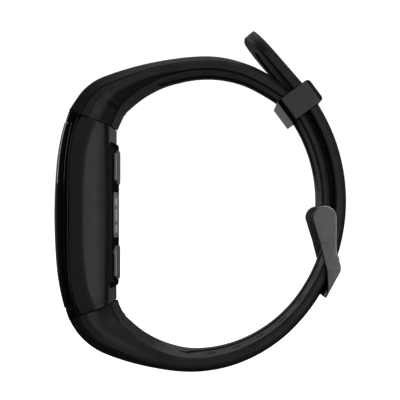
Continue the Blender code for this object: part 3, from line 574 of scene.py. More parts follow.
def gloss(name, level, rough=0.05, ripple=0.002):
    """Polished black plastic with a clear coat, faint ripple and a few hairline marks."""
    recipe = Recipe(name)
    cloud = recipe.noise(6.0, 2.0)
    hair = recipe.noise(0.12, 4.0, 0.6, stretch=(1.0, 1.0, 0.06))
    colour = recipe.mixed(recipe.ranged(cloud, 0, 1), grey(level * 0.8), grey(level * 1.2))
    smear = recipe.ranged(cloud, rough, rough * 1.9)
    smear = recipe.sum("ADD", smear, recipe.ranged(hair, 0, 0.05, 0.62, 0.75))
    return recipe.set(
        Base_Color=colour, Roughness=smear, Specular_IOR_Level=0.25, Coat_Weight=0.25,
        Coat_Roughness=rough * 0.6, Normal=recipe.bump(cloud, 0.3, ripple),
    )


def metal(name, tone, rough, grain_way=(1.0, 0.08, 1.0), tint=(1.0, 1.0, 1.0), wear_and_highlight=0.6, hair=0.1):
    """Satin metal: fine brushed lines, a soft cloud of tone and brighter edges, partly rubbed wear and
    partly painted highlight.
    """
    recipe = Recipe(name)
    lines = recipe.noise(hair, 4.0, 0.65, stretch=grain_way)
    cloud = recipe.noise(2.6, 3.0)
    base = recipe.mixed(recipe.ranged(cloud, 0, 1), grey(tone * 0.92, tint), grey(tone * 1.08, tint))
    base = recipe.mixed(recipe.ranged(lines, 0, 0.35), base, grey(tone * 0.6, tint))
    # Edges lighter: partly rubbed wear and partly painted highlight.
    worn_and_highlit_edges = recipe.times(recipe.edges(0.4), recipe.ranged(cloud, 0.6, 1.0))
    bright = grey(min(tone * 2.4, 0.9), tint)
    base = recipe.mixed(recipe.times(worn_and_highlit_edges, wear_and_highlight), base, bright)
    roughness = recipe.ranged(lines, rough - 0.05, rough + 0.08)
    return recipe.set(
        Base_Color=base, Metallic=1.0, Roughness=roughness, Normal=recipe.bump(lines, 0.35, 0.006),
    )


def wear_on(obj, recipe):
    obj.data.materials.clear()
    obj.data.materials.append(recipe.made)


# ---- body profile


def front_x(z):
    """The front of the arch of the glass at a height."""
    z = abs(z)
    knee = radians(ARCH_FLAT_ANGLE)
    knee_z = ARCH_FLAT_RADIUS * sin(knee)
    if z <= knee_z:
        return FRONT_X + ARCH_FLAT_RADIUS - sqrt(ARCH_FLAT_RADIUS**2 - z * z)
    knee_x = FRONT_X + ARCH_FLAT_RADIUS * (1 - cos(knee))
    sine = sin(knee) + (z - knee_z) / ARCH_END_RADIUS
    return knee_x + ARCH_END_RADIUS * (cos(knee) - sqrt(1 - sine * sine))


def edge_drop(z):
    """How far the edge of the glass reaches behind its front, at a height."""
    part = min(abs(z) / GLASS_HALF_LENGTH, 1.0)
    return GLASS_EDGE_DROP + (GLASS_EDGE_DROP_END - GLASS_EDGE_DROP) * part * part


def rim_x(z):
    """The line between the gloss frame and the housing, sweeping back toward the straps."""
    part = min(abs(z) / SEAM_FRONT[1], 1.05)
    return RIM_X + (RIM_X_END - RIM_X) * part**4.5


def side_edge_x(z):
    """The edge between the flat and the bowed part of the housing's side."""
    return SIDE_EDGE_X + SIDE_EDGE_SWEEP * min(abs(z) / 24.5, 1.0) ** 3


def seam_z(x):
    """The height of the slanted plane between body and strap, at a depth."""
    slope = (SEAM_BACK[1] - SEAM_FRONT[1]) / (SEAM_BACK[0] - SEAM_FRONT[0])
    return SEAM_FRONT[1] + slope * (x - SEAM_FRONT[0])


def station_z(part, x):
    """Height of a section from the middle (0) to the slanted seam (1)."""
    size = abs(part)
    if size <= LEVEL_SHARE:
        height = LEVEL_HALF * size / LEVEL_SHARE
    else:
        share = (size - LEVEL_SHARE) / (1 - LEVEL_SHARE)
        height = LEVEL_HALF + (seam_z(x) - SEAM_GAP - LEVEL_HALF) * share
    return copysign(height, part)


def mirrored(half):
    """A closed section from its +Y half, listed from the front to the back."""
    return half + [(x, -y) for x, y in reversed(half)]


def scaled_toward(half, middle, amount):
    """A half section drawn in by amount mm on all sides."""
    made = []
    for x, y in half:
        away = Vector((x - middle, y))
        share = max(0.0, 1 - amount / max(away.length, 1e-6))
        made.append((middle + away.x * share, away.y * share))
    return made


# ---- front glass


def build_glass():
    sections = []
    count = 90
    end_round = 0.35
    for i in range(-count, count + 1):
        z = GLASS_HALF_LENGTH * i / count
        left = GLASS_HALF_LENGTH - abs(z)
        front = front_x(z)
        drop = edge_drop(z)
        droop = drop - 0.6
        roll = smooth_curve([(0, 7.6), (0.22, 9.6), (0.55, 10.9), (1.0, 11.6)], 7)
        half = [(front, 0.8), (front, 3.0), (front, 5.4)]
        half += [(front + x * droop, y) for x, y in roll]
        half += [
            (front + drop - 0.3, GLASS_HALF_WIDTH), (front + drop - 0.12, GLASS_HALF_WIDTH),
            (front + drop, GLASS_HALF_WIDTH - 0.12), (front + drop, 10.7),
            (front + 0.22 * droop + GLASS_THICK - 0.2, 9.6), (front + GLASS_THICK - 0.2, 7.6),
        ]
        if left < end_round:
            inset = end_round - sqrt(end_round**2 - (end_round - left) ** 2)
            half = scaled_toward(half, front + GLASS_THICK / 2, min(inset, 0.33))
        sections.append([(x, y, z) for x, y in mirrored(half)])
    glass = loft("glass_cover", sections, 40)
    recipe = gloss("black_cover_glass", 0.004, 0.035, 0.0008)
    spot = recipe.place()
    across = recipe.sum("ABSOLUTE", spot["Y"])
    along = recipe.sum("ABSOLUTE", spot["Z"])
    inside_y = recipe.ranged(across, 1, 0, 0.0093, 0.0095)
    inside_z = recipe.ranged(along, 1, 0, 0.0182, 0.0184)
    panel = recipe.times(inside_y, inside_z)
    recipe.coloured(panel, (0.010, 0.0115, 0.014)).set(Specular_IOR_Level=0.6)
    wear_on(glass, recipe)
    placed(glass, "tracker", "front_glass")


# ---- gloss frame


def build_gloss_frame():
    sections = []
    step_z = GLASS_HALF_LENGTH + 0.12
    levels = [19.0 * i / 24 for i in range(25)] + [19.0 + 0.35 * i for i in range(1, 13)]
    levels = [z for z in levels if z < step_z - 0.1] + [step_z]
    halves = []
    for z in levels:
        ledge = front_x(z) + edge_drop(z) + 0.28
        rim = rim_x(z) - 0.12
        line = [(ledge, 6.0), (ledge, 11.9), (ledge + 0.2, 12.12), (rim - 0.12, 12.3), (rim, 12.2)]
        halves.append((z, rounded_line(line, [0, 0.25, 0.25, 0.1, 0], 3)))
    for z in (step_z + 0.03, step_z + 0.12, 24.2, 24.8, 25.4, 25.9, 26.6):
        lift = 0.1 + (0.12 if z == step_z + 0.03 else 0.0)
        front = front_x(z) + lift
        rim = rim_x(z) - 0.12
        line = [(front, 6.0), (front + 0.6, 11.0), (front + 1.1, 12.0), (rim - 0.12, 12.3), (rim, 12.2)]
        halves.append((z, rounded_line(line, [0, 2.0, 0.6, 0.1, 0], 3)))
    for side in (-1, 1):
        ordered = reversed(halves) if side < 0 else halves[1:]
        for z, half in ordered:
            ring = []
            for x, y in mirrored(half):
                ring.append((x, y, side * min(z, seam_z(x) - SEAM_GAP)))
            sections.append(ring)
    obj = loft("gloss_frame", sections, 38)
    low, high = GLASS_LOW[2] + 1.3, GLASS_HIGH[2] - 1.3
    opening = bar("opening_cutter", (-20, -10.4, low), (0, 10.4, high), 0.8)
    carve(obj, [opening], sharp=38)
    finished(obj, gloss("gloss_black_frame", 0.004, 0.06), "tracker", "front_frame")


# ---- housing


def housing_half(z):
    rim = rim_x(z)
    edge = side_edge_x(z)
    depth = BACK_X - edge
    bowl = smooth_curve(
        [
            (edge + 0.1, BODY_HALF_WIDTH - 0.015),
            (edge + 0.28 * depth, 12.17),
            (edge + 0.58 * depth, 11.7),
            (edge + 0.78 * depth, 11.0),
            (edge + 0.95 * depth, 9.85),
            (BACK_X - 0.06, 8.75),
        ],
        5,
    )
    half = [(rim, 6.0), (rim, 12.1), (rim + 0.1, 12.28), (rim + 0.25, 12.31)]
    half += [(edge - 0.9, 12.46), (edge - 0.12, BODY_HALF_WIDTH)]
    half += bowl
    half += [(BACK_X - 0.01, 8.5), (BACK_X, 8.2), (BACK_X, 4.0)]
    return half


def screw_spots():
    return [node_middle("case_screw_%d" % number) for number in (1, 2, 3, 4)]


def build_housing():
    parts = [i / 70 for i in range(-70, 71)]
    edge_parts = (0.9975, 0.9955, 0.993)
    parts = sorted(set(parts) | set(edge_parts) | {-part for part in edge_parts})
    sections = []
    for part in parts:
        middle_z = station_z(part, -9.8)
        half = housing_half(middle_z)
        drawn_in = {1.0: 0.14, 0.9975: 0.05, 0.9955: 0.01}.get(abs(part), 0.0)
        if drawn_in:
            half = scaled_toward(half, -5.5, drawn_in)
        ring = [(x, y, station_z(part, x)) for x, y in mirrored(half)]
        sections.append(ring)
    shell = loft("housing_shell", sections, 38)
    walls = [(-16, 11.1), (-7.0, 11.1), (-4.2, 10.7), (-3.0, 9.8), (-2.3, 8.4)]
    cavity = loft("cavity", [[(x, y, z) for x, y in mirrored(walls)] for z in (-18.2, 18.2)])
    carve(shell, [cavity], sharp=38)
    bosses = [
        rod("boss_%d" % i, (-3.2, y, z), "X", 1.2, 2.2, steps=24)
        for i, (y, z) in enumerate(screw_spots())
    ]
    half_y, half_z = COVER_HIGH[1] + 0.2, COVER_HIGH[2] + 0.2
    seat = plate("cover_seat", [rounded_rectangle(half_y, half_z, 2.2)], "YZ", -1.55, 2)
    carve(
        shell,
        [
            bar("opening_1", (-4, -7.1, -14.4), (2, 7.1, 14.4)),
            bar("opening_2", (-4, -5.4, -17.7), (2, 5.4, 17.7)),
            seat,
        ],
        bosses,
        sharp=38,
    )
    cutters = []
    for side, word in ((1, "upper"), (-1, "lower")):
        low, high = sorted((side * 19.4, side * 27.0))
        cutters.append(bar(word + "_pocket", (-7.1, -5.8, low), (-3.75, 5.8, high)))
        low, high = sorted((side * 17.9, side * 21.6))
        cutters.append(bar(word + "_bay", (-3.9, -3.7, low), (-1.75, 3.7, high)))
        pivot = joint_spot("latch_%s_rock" % word)
        cutters.append(rod(word + "_trunnion", (pivot[0], 0, pivot[1]), "Y", 0.62, 9.4, steps=24))
    for i, (y, z) in enumerate(screw_spots()):
        cutters.append(rod("bore_%d" % i, (-2.5, y, z), "X", 0.52, 6, steps=20))
    carve(shell, cutters, sharp=38)
    recipe = moulded("satin_black_housing", grey(0.016), grey(0.020), (0.32, 0.38), 0.16, 0.006, 0.5)
    # Painted light: faces that look straight across, the flat sides, are painted a lighter grey than
    # the rest.
    recipe.coloured(recipe.ranged(recipe.facing()[0], 0, 0.8, 0.955, 0.985), grey(0.032))
    finished(shell, recipe, "tracker", "main_housing")


# ---- wrist-side cover


def button_outline(word, grow=0.0, corner=1.35):
    middle = node_middle("release_button_" + word)[1]
    return rounded_rectangle(4.45 + grow, 4.4 + grow, corner + grow, 8, (0, middle)), middle


def build_cover():
    outline = rounded_rectangle(COVER_HIGH[1], COVER_HIGH[2], 2.0, 10)
    holes = [
        rounded_rectangle(WINDOW_HIGH[1] + 0.12, WINDOW_HIGH[2] + 0.12, 2.42, 10),
        button_outline("upper", BUTTON_GAP)[0], button_outline("lower", BUTTON_GAP)[0],
    ]
    holes += [circle(1.0, (y, z), 28) for y, z in screw_spots()]
    for number in (1, 2):
        node = "charging_contact_%d" % number
        spot = node_middle(node)
        holes.append(circle(node_box(node)[1][1] - spot[0] + 0.1, spot, 24))
    cover = plate("wrist_cover", [outline] + holes, "YZ", -1.2, COVER_FACE_X, 0.16, 3)
    recipe = moulded("matt_black_cover", grey(0.010), grey(0.014), (0.36, 0.44), 0.2, 0.010, 0.4, 0.4)
    spot = recipe.place()
    # Painted shade: the outer face of the cover, toward the wrist, is painted near black, made rougher
    # and nearly loses its reflection.
    painted_shade_face = recipe.ranged(spot["X"], 0, 1, -0.3 * MM, -0.15 * MM)
    rough = recipe.fed("Roughness")
    shine = recipe.fed("Specular IOR Level")
    off_face = recipe.sum("SUBTRACT", 1.0, painted_shade_face)
    recipe.coloured(painted_shade_face, grey(0.003)).set(
        Roughness=recipe.sum("ADD", rough, recipe.times(painted_shade_face, 0.4), clamp=True),
        Specular_IOR_Level=recipe.times(shine, recipe.sum("ADD", off_face, 0.08)),
    )
    finished(cover, recipe, "tracker", "back_cover")

    seats = []
    for i, (y, z) in enumerate(screw_spots()):
        rim = plate(
            "seat_%d" % i, [circle(0.98, (y, z), 28), circle(0.62, (y, z), 24)], "YZ", -0.85, -0.6,
        )
        seats.append(rim)
    seat = merged("screw_seats", seats)
    wear_on(seat, recipe)
    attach(seat, "tracker")


# ---- sensor window


def build_window():
    half_y, half_z = WINDOW_HIGH[1], WINDOW_HIGH[2]
    window = plate(
        "sensor_glass", [rounded_rectangle(half_y, half_z, 2.3, 10)], "YZ", WINDOW_LOW[0],
        WINDOW_HIGH[0], 0.14, 4,
    )
    recipe = gloss("dark_sensor_glass", 0.006, 0.05, 0.0)
    spot = recipe.place()
    colour = recipe.fed("Base Color")
    # The faint emission over the LED spots stands for lit LEDs; over the photodiode spot it is a
    # painted glow, as a photodiode gives no light.
    glow = grey(0.0)
    lenses = (
        ("sensor_led_upper", (0.55, 0.72, 0.60)), ("photodiode", (0.62, 0.62, 0.50)),
        ("sensor_led_lower", (0.48, 0.74, 0.66)),
    )
    across = recipe.sum("ABSOLUTE", spot["Y"])
    for node, tint in lenses:
        low, high = node_box(node)
        middle, half = node_middle(node)[1], (high[2] - low[2]) / 2
        away = recipe.sum("ABSOLUTE", recipe.sum("SUBTRACT", spot["Z"], middle * MM))
        in_z = recipe.ranged(away, 1, 0, (half - 0.22) * MM, half * MM)
        in_y = recipe.ranged(across, 1, 0, (high[1] - 0.3) * MM, high[1] * MM)
        share = recipe.times(in_z, in_y)
        colour = recipe.mixed(share, colour, grey(0.4, tint))
        glow = recipe.mixed(share, glow, tint)
    recipe.set(
        Base_Color=colour, Emission_Color=glow, Emission_Strength=0.16, Specular_IOR_Level=0.25,
        Coat_Weight=0.05,
    )
    finished(window, recipe, "tracker", "sensor_window")


# ---- release buttons


def build_buttons():
    for side, word in ((1, "upper"), (-1, "lower")):
        node = "release_button_" + word
        low, high = node_box(node)
        outline, middle = button_outline(word)
        cap = plate("cap", [outline], "YZ", -1.5, high[0], BUTTON_EDGE, 4)
        flange = bar("flange", (-1.95, -4.95, middle - 4.78), (-1.3, 4.95, middle + 4.78), 0.1)
        foot_middle = side * 14.9
        foot = bar("foot", (low[0], -1.5, foot_middle - 0.6), (-1.6, 1.5, foot_middle + 0.6), 0.1)
        button = merged("button_cap_" + word, [cap, flange, foot])
        recipe = metal("button_metal_" + word, 0.3, 0.34, (1.0, 1.0, 0.1), wear_and_highlight=0.8)
        finished(button, recipe, node, node)


# ---- strap line


class Walk:
    """A line in the XZ plane made of arcs and straights, measured from its start."""

    def __init__(self, start, heading, turn_side):
        self.pieces = []
        self.here = start
        self.heading = heading
        self.turn_side = turn_side
        self.length = 0.0

    def go(self, radius, amount):
        """An arc of amount degrees, or a straight of amount mm where radius is None."""
        gone = amount if radius is None else radians(amount) * radius
        self.pieces.append((self.length, gone, self.here, self.heading, radius))
        self.here, self.heading = self.along(self.pieces[-1], gone)
        self.length += gone
        return self

    def along(self, piece, gone):
        _, _, start, heading, radius = piece
        if radius is None:
            return turned_about(start, gone, radians(heading)), heading
        turned = degrees(gone / radius) * self.turn_side
        side = radians(heading + 90 * self.turn_side)
        centre = turned_about(start, radius, side)
        out = side + pi + radians(turned)
        return turned_about(centre, radius, out), heading + turned

    def at(self, gone):
        gone = min(max(gone, 0.0), self.length)
        for piece in self.pieces:
            if gone <= piece[0] + piece[1] + 1e-9:
                return self.along(piece, gone - piece[0])
        return self.here, self.heading


def upper_line():
    start = ring_point(INNER_LAYER_OUTER_RADIUS, PIN_ANGLE)
    walk = Walk(start, PIN_ANGLE + 90, 1)
    walk.go(INNER_LAYER_OUTER_RADIUS, 36.0 - PIN_ANGLE)
    return walk.go(28.1, 54.6).go(72.4, 21.2).go(12.2, 36.8).go(None, 3.9)


def lower_line():
    foot = ring_point(OUTER_LAYER_OUTER_RADIUS, TAIL_ANGLE)
    tip = turned_about(foot, TAIL_LENGTH, radians(TAIL_ANGLE + 90))
    walk = Walk(tip, TAIL_ANGLE - 90, -1).go(None, TAIL_LENGTH)
    walk.go(OUTER_LAYER_OUTER_RADIUS, TAIL_ANGLE + 45.5)
    return walk.go(36.4, 51.1).go(67.9, 14.65).go(16.6, 45.0)


# For each strap piece, as (distance from the body, size in mm): its thickness, how far its outer face
# stands out of the strap line, and how deep its outer shoulder and its waist lie under that face.
# Then where its channel starts, which way its end faces the wrist, and on which side of it that is.
STRAP_TABLES = {
    "upper": {
        "thick": [
            (0, 10.35), (3, 9.9), (6, 9.55), (10, 8.8), (12, 8.55), (14, 7.75), (18, 6.15), (22, 5.0),
            (26, 4.15), (30, 3.7), (35, 3.25), (44, 3.4), (56, 3.3), (62, 2.5),
        ],
        "lift": [
            (0, 0.65), (4, 0.55), (9, 0.3), (15, 0.3), (30, 0.3), (37, 0.38), (42, 0.2), (47, 0),
        ],
        "shoulder": [(0, 2.4), (8, 2.3), (16, 1.9), (26, 1.2), (60, 0.9)],
        "waist": [(0, 7.1), (9, 6.0), (15, 4.3), (24, 3.1)],
        "channel_from": 24.0,
        "end_angle": -19.1,
        "side": 1,
    },
    "lower": {
        "thick": [
            (0, 10.85), (4.5, 10.2), (8, 9.35), (12, 8.7), (14, 8.1), (18, 6.4), (22, 5.2), (26, 4.35),
            (30, 3.8), (34, 3.45), (53, 3.3), (68, OUTER_LAYER_THICK),
        ],
        "lift": [(0, 0.1), (10, 0.15), (18, 0.27), (38, 0.2), (46, 0.12), (56, 0)],
        "shoulder": [(0, 2.4), (8, 2.2), (16, 1.8), (26, 1.2), (60, 0.9)],
        "waist": [(0, 7.1), (9, 6.2), (16, 4.6), (26, 3.1)],
        "channel_from": 33.0,
        "end_angle": 18.0,
        "side": -1,
    },
}
# For both: half width, the crease along the side as a share of the thickness, and how far the outer
# and the inner face end short of the side
WIDE = [(0, 12.4), (9, 12.0), (26, STRAP_HALF_WIDTH)]
CREASE = [(0, 0.53), (6, 0.46), (30, 0.45)]
OUTER_EDGE = [(0, 1.0), (20, 1.6), (60, 1.2)]
INNER_EDGE = [(0, 4.4), (10, 3.0), (20, 1.2), (28, 0.5)]


def channel_half(distance, start, end):
    """Half width of the recessed channel, rounded at both ends."""
    room = min(distance - start, end - distance, CHANNEL_HALF_WIDTH)
    if room <= 0:
        return 0.0
    return sqrt(CHANNEL_HALF_WIDTH**2 - (CHANNEL_HALF_WIDTH - room) ** 2)


def strap_ring(spot, distance, sizes, narrow, channel_end):
    """The strap's section at a distance from the body, as points in mm."""
    point, heading = spot
    part = 1 - eased(distance / 14.0)
    normal = heading + 90 * sizes["side"]
    normal += ((sizes["end_angle"] - normal + 180) % 360 - 180) * part
    turn = radians(normal)
    thick = softly_between(sizes["thick"], distance)
    wide = softly_between(WIDE, distance) * narrow
    shoulder = softly_between(sizes["shoulder"], distance)
    waist = min(softly_between(sizes["waist"], distance), thick - 0.45)
    outer = wide - softly_between(OUTER_EDGE, distance) * narrow
    inner = wide - softly_between(INNER_EDGE, distance) * narrow
    channel = channel_half(distance, sizes["channel_from"], channel_end)
    depth = CHANNEL_DEPTH if channel > 0 else 0.0
    channel = min(channel or CHANNEL_HALF_WIDTH, inner - 0.4)
    flank = (shoulder - GROOVE_HALF) / shoulder
    lift = softly_between(sizes["lift"], distance)
    crown = CROWN_HEIGHT * (1 - eased(distance / CROWN_LENGTH))
    lean = 1 - eased(distance / 26.0)
    crease = min(thick * softly_between(CREASE, distance), (shoulder + waist) / 2)
    line = [
        (outer * 0.2, -lift - crown), (outer * 0.55, -lift - crown * 0.94), (outer, -lift),
        (outer + (wide - outer) * flank, shoulder - GROOVE_HALF), (wide - GROOVE_DEPTH, shoulder),
        (wide, shoulder + GROOVE_HALF), (wide, crease), (wide - 0.85 * lean, waist), (inner, thick),
        (channel + CHANNEL_WALL, thick), (channel, thick - depth),
        (min(3.2, channel * 0.6), thick - depth), (min(1.6, channel * 0.3), thick - depth),
    ]
    radii = [0, 3.0, 0.3, 0.06, 0.05, 0.06, 0.1, 0.3 + 3.0 * lean, 0.4 + 1.5 * lean, 0.12, 0.1, 0, 0]
    half = rounded_line(line, radii, 3)
    ring = []
    for y, painted_crevice_shade in half + [(-y, painted_crevice_shade) for y, painted_crevice_shade in reversed(half)]:
        ring.append([point[0] + cos(turn) * painted_crevice_shade, y, point[1] + sin(turn) * painted_crevice_shade])
    return ring


def snapped(ring, side, gap):
    for spot in ring:
        spot[2] = side * (seam_z(spot[0]) + gap)
    return ring


def shrunk(ring, amount):
    """A ring drawn in by amount mm towards its middle."""
    middle = sum((Vector(spot) for spot in ring), Vector()) / len(ring)
    made = []
    for spot in ring:
        away = Vector(spot) - middle
        made.append(list(middle + away * max(0.0, 1 - amount / max(away.length, 1e-6))))
    return made


def strap_distances(length, sizes, channel_end, tip_length):
    """Distances from the body at which the strap has a section."""
    spots = {0.22, 0.5, length}
    spots |= {0.7 * i for i in range(1, int(length / 0.7))}
    for end in (sizes["channel_from"], channel_end):
        for offset in (0.02, 0.08, 0.2, 0.4, 0.7, 1.1, 1.6, 2.2, 3.0, 4.0):
            spots |= {end + offset, end - offset}
    if tip_length:
        for share in range(1, 25):
            spots.add(length - tip_length * (1 - sin(pi / 2 * share / 24)))
    chosen = []
    for spot in sorted(spots):
        if 0.1 < spot <= length and (not chosen or spot - chosen[-1] > 0.015):
            chosen.append(spot)
    return chosen


def build_strap(word, walk, tip_length, channel_end):
    sizes = STRAP_TABLES[word]
    length = walk.length

    def narrow(distance):
        left = length - distance
        if not tip_length or left >= tip_length:
            return 1.0
        return 0.3 + 0.7 * sqrt(max(0.0, 1 - ((tip_length - left) / tip_length) ** 2))

    def ring_at(distance):
        spot = walk.at(length - distance)
        return strap_ring(spot, distance, sizes, narrow(distance), channel_end)

    first = snapped(ring_at(0.0), sizes["side"], SEAM_GAP)
    sections = []
    for inset, gap in ((0.14, 0.0), (0.03, 0.05), (0.0, 0.16)):
        sections.append(snapped(shrunk(first, inset), sizes["side"], SEAM_GAP + gap))
    for distance in strap_distances(length, sizes, channel_end, tip_length):
        sections.append(ring_at(distance))
    if tip_length:
        last = sections.pop()
        way = radians(walk.at(0.0)[1])
        for back, inset in ((0.3, 0.0), (0.1, 0.09), (0.0, 0.28)):
            ring = shrunk(last, inset)
            for spot in ring:
                spot[0] += back * cos(way)
                spot[2] += back * sin(way)
            sections.append(ring)
    return loft("strap_" + word, sections, 34)


def neck_cutters(side, word):
    low, high = sorted((side * 21.0, side * 26.3))
    neck = bar(word + "_neck", (-7.05, -5.75, low), (-3.8, 5.75, high))
    low, high = sorted((side * 26.0, side * 28.75))
    head = bar(word + "_head", (-7.05, -7.65, low), (-3.8, 7.65, high))
    return [neck, head]


def build_upper_strap():
    walk = upper_line()
    strap = build_strap("upper", walk, 0.0, walk.length - 7.0)
    lug = rod("lug", (PIN[0], 0, PIN[1]), "Y", LUG_RADIUS, 21.8, 0.3)
    bore = rod("bore", (PIN[0], 0, PIN[1]), "Y", PIN_BORE, 24, steps=24)
    gap = bar("gap", (PIN[0] - 4, -1.5, PIN[1] - 4), (PIN[0] + 4, 1.5, PIN[1] + 2.4), 0.3)
    carve(strap, [bore, gap] + neck_cutters(1, "upper"), [lug], sharp=34)
    finished(strap, silicone("strap_silicone_upper", STRAP_GREY), "tracker", "upper_strap")


def build_lower_strap():
    walk = lower_line()
    strap = build_strap("lower", walk, 8.0, walk.length - 4.2)
    from_tip = TAIL_LENGTH + OUTER_LAYER_OUTER_RADIUS * radians(TAIL_ANGLE - TANG_HOLE_ANGLE)
    cutters = []
    flat = (HOLE_LENGTH - HOLE_WIDTH) / 2
    for i in range(-HOLES_TOWARD_TIP, HOLES_TOWARD_BODY + 1):
        spot, way = walk.at(from_tip + i * HOLE_PITCH)
        outline = []
        for step in range(32):
            turn = 2 * pi * (step + 0.5) / 32
            u = HOLE_WIDTH / 2 * cos(turn) + copysign(flat, cos(turn))
            outline.append((u, HOLE_WIDTH / 2 * sin(turn)))
        hole = plate("hole_%d" % i, [outline], "XY", -6, 6)
        hole.data.transform(put_at(spot) @ Matrix.Rotation(-radians(way), 4, "Y"))
        cutters.append(hole)
    carve(strap, cutters + neck_cutters(-1, "lower"), sharp=34)
    recipe = silicone("strap_silicone_lower", STRAP_GREY)
    # Painted shade: near the root, faces toward the wrist side lose almost all their reflection, so
    # they read darker.
    across, inward = recipe.facing()
    wrist_side = recipe.ranged(across, 1, 0, 0.3, 0.6)
    wrist_side = recipe.times(wrist_side, recipe.ranged(inward, 0, 1, 0.3, 0.6))
    spot = recipe.place()
    root = recipe.ranged(spot["X"], 1, 0, 10 * MM, 15 * MM)
    painted_shade_dimming = recipe.times(recipe.times(wrist_side, root), 0.92)
    shine = recipe.fed("Specular IOR Level")
    recipe.set(Specular_IOR_Level=recipe.times(shine, recipe.sum("SUBTRACT", 1.0, painted_shade_dimming)))
    finished(strap, recipe, "tracker", "lower_strap")


# ---- buckle


def build_buckle():
    outline = [turned_about(PIN, ARM_END_RADIUS, radians(i)) for i in range(-5, 186, 10)]
    corners = [
        (PIN[0] - 2.2, PIN[1] - 3.2), ring_point(39.75, -15.0), ring_point(43.85, -23.5),
        ring_point(45.95, -28.4), ring_point(46.85, PLATE_ANGLE_TIP - 0.3),
        ring_point(47.2, PLATE_ANGLE_TOP + 0.3), ring_point(44.5, -16.3),
    ]
    line = rounded_line(
        [outline[-1]] + corners + [outline[0]], [0, 6.0, 9.0, 6.0, 3.0, 0.8, 2.5, 6.0, 0], 6,
    )
    outline = outline[:-1] + line[:-1]
    bodies = []
    for side in (-1, 1):
        low, high = sorted((side * ARM_INNER_Y, side * ARM_OUTER_Y))
        bodies.append(plate("arm", [outline], "XZ", low, high, 0.3, 5))
    middle_angle = (PLATE_ANGLE_TOP + PLATE_ANGLE_TIP) / 2
    half_angle = radians(PLATE_ANGLE_TOP - PLATE_ANGLE_TIP) / 2
    out = radians(middle_angle)
    reach = PLATE_OUTER * tan(half_angle)
    slot_end = PLATE_OUTER * tan(radians(-26.2 - middle_angle))
    half_width = ARM_INNER_Y + 0.6
    flat = [(-reach, half_width), (reach, half_width), (reach, 1.15), (slot_end, 1.15)]
    flat = rounded_line(mirrored(flat), [0.3, 0.3, 0.3, 0.6, 0.6, 0.3, 0.3, 0.3], 5, closed=True)
    cross = plate("cross", [flat], "XY", PLATE_INNER, PLATE_OUTER, 0.25, 4)
    turned = Matrix(((-sin(out), 0, cos(out)), (0, 1, 0), (cos(out), 0, sin(out)))).to_4x4()
    cross.data.transform(put_at(RING_CENTRE) @ turned)
    bodies.append(cross)
    buckle = merged("buckle_metal", bodies)
    recipe = metal("satin_dark_metal", 0.15, 0.34, (1.0, 1.0, 0.08))
    # Painted highlight and shade: the rounded edges and the faces not looking across are near white
    # where they face up or toward +X and near black where they face the other way.
    across, outward = recipe.facing()
    rim = recipe.ranged(across, 1, 0, 0.9, 0.98)
    painted_rim_light = recipe.mixed(recipe.ranged(outward, 0, 1, -0.1, 0.5), grey(0.04), grey(0.85))
    recipe.coloured(rim, painted_rim_light)
    finished(buckle, recipe, "buckle", "buckle_frame")

    pin = rod("pin_metal", (PIN[0], 0, PIN[1]), "Y", PIN_RADIUS, 2 * (ARM_OUTER_Y - 0.15), 0.15)
    finished(pin, metal("pin_steel", 0.5, 0.28, (1.0, 0.05, 1.0)), "tracker", "buckle_pin")


def build_tang():
    line = [
        (40.1, PIN_ANGLE), (40.7, -11.0), (41.2, -15.6), (42.1, -16.95), (45.7, -17.7), (46.5, -18.7),
        (46.75, -21.5), (46.65, -25.2),
    ]
    spots = [Vector(ring_point(radius, angle)) for radius, angle in line]
    outer_side, inner_side = [], []
    for i, here in enumerate(spots):
        before = spots[max(i - 1, 0)]
        after = spots[min(i + 1, len(spots) - 1)]
        first = (here - before).normalized() if i else (after - here).normalized()
        second = (after - here).normalized() if i < len(spots) - 1 else first
        bisector = (first + second).normalized()
        across = Vector((-bisector.y, bisector.x))
        reach = TANG_HALF_THICK / max(0.75, first.dot(bisector))
        outer_side.append(tuple(here + across * reach))
        inner_side.append(tuple(here - across * reach))
    outline = outer_side + list(reversed(inner_side))
    outline = rounded_line(outline, 0.5, 5, closed=True)
    blade = plate("blade", [outline], "XZ", -TANG_HALF_WIDTH, TANG_HALF_WIDTH, 0.2, 3)
    hub = rod("hub", (PIN[0], 0, PIN[1]), "Y", HUB_RADIUS, 2.4, 0.15)
    bore = rod("bore", (PIN[0], 0, PIN[1]), "Y", PIN_BORE, 6, steps=24)
    carve(blade, [bore], [hub])
    blade.name = "tang_metal"
    recipe = metal("tang_steel", 0.06, 0.34, (1.0, 1.0, 0.08), wear_and_highlight=0.9)
    finished(blade, recipe, "tang", "buckle_tang")


# ---- keeper


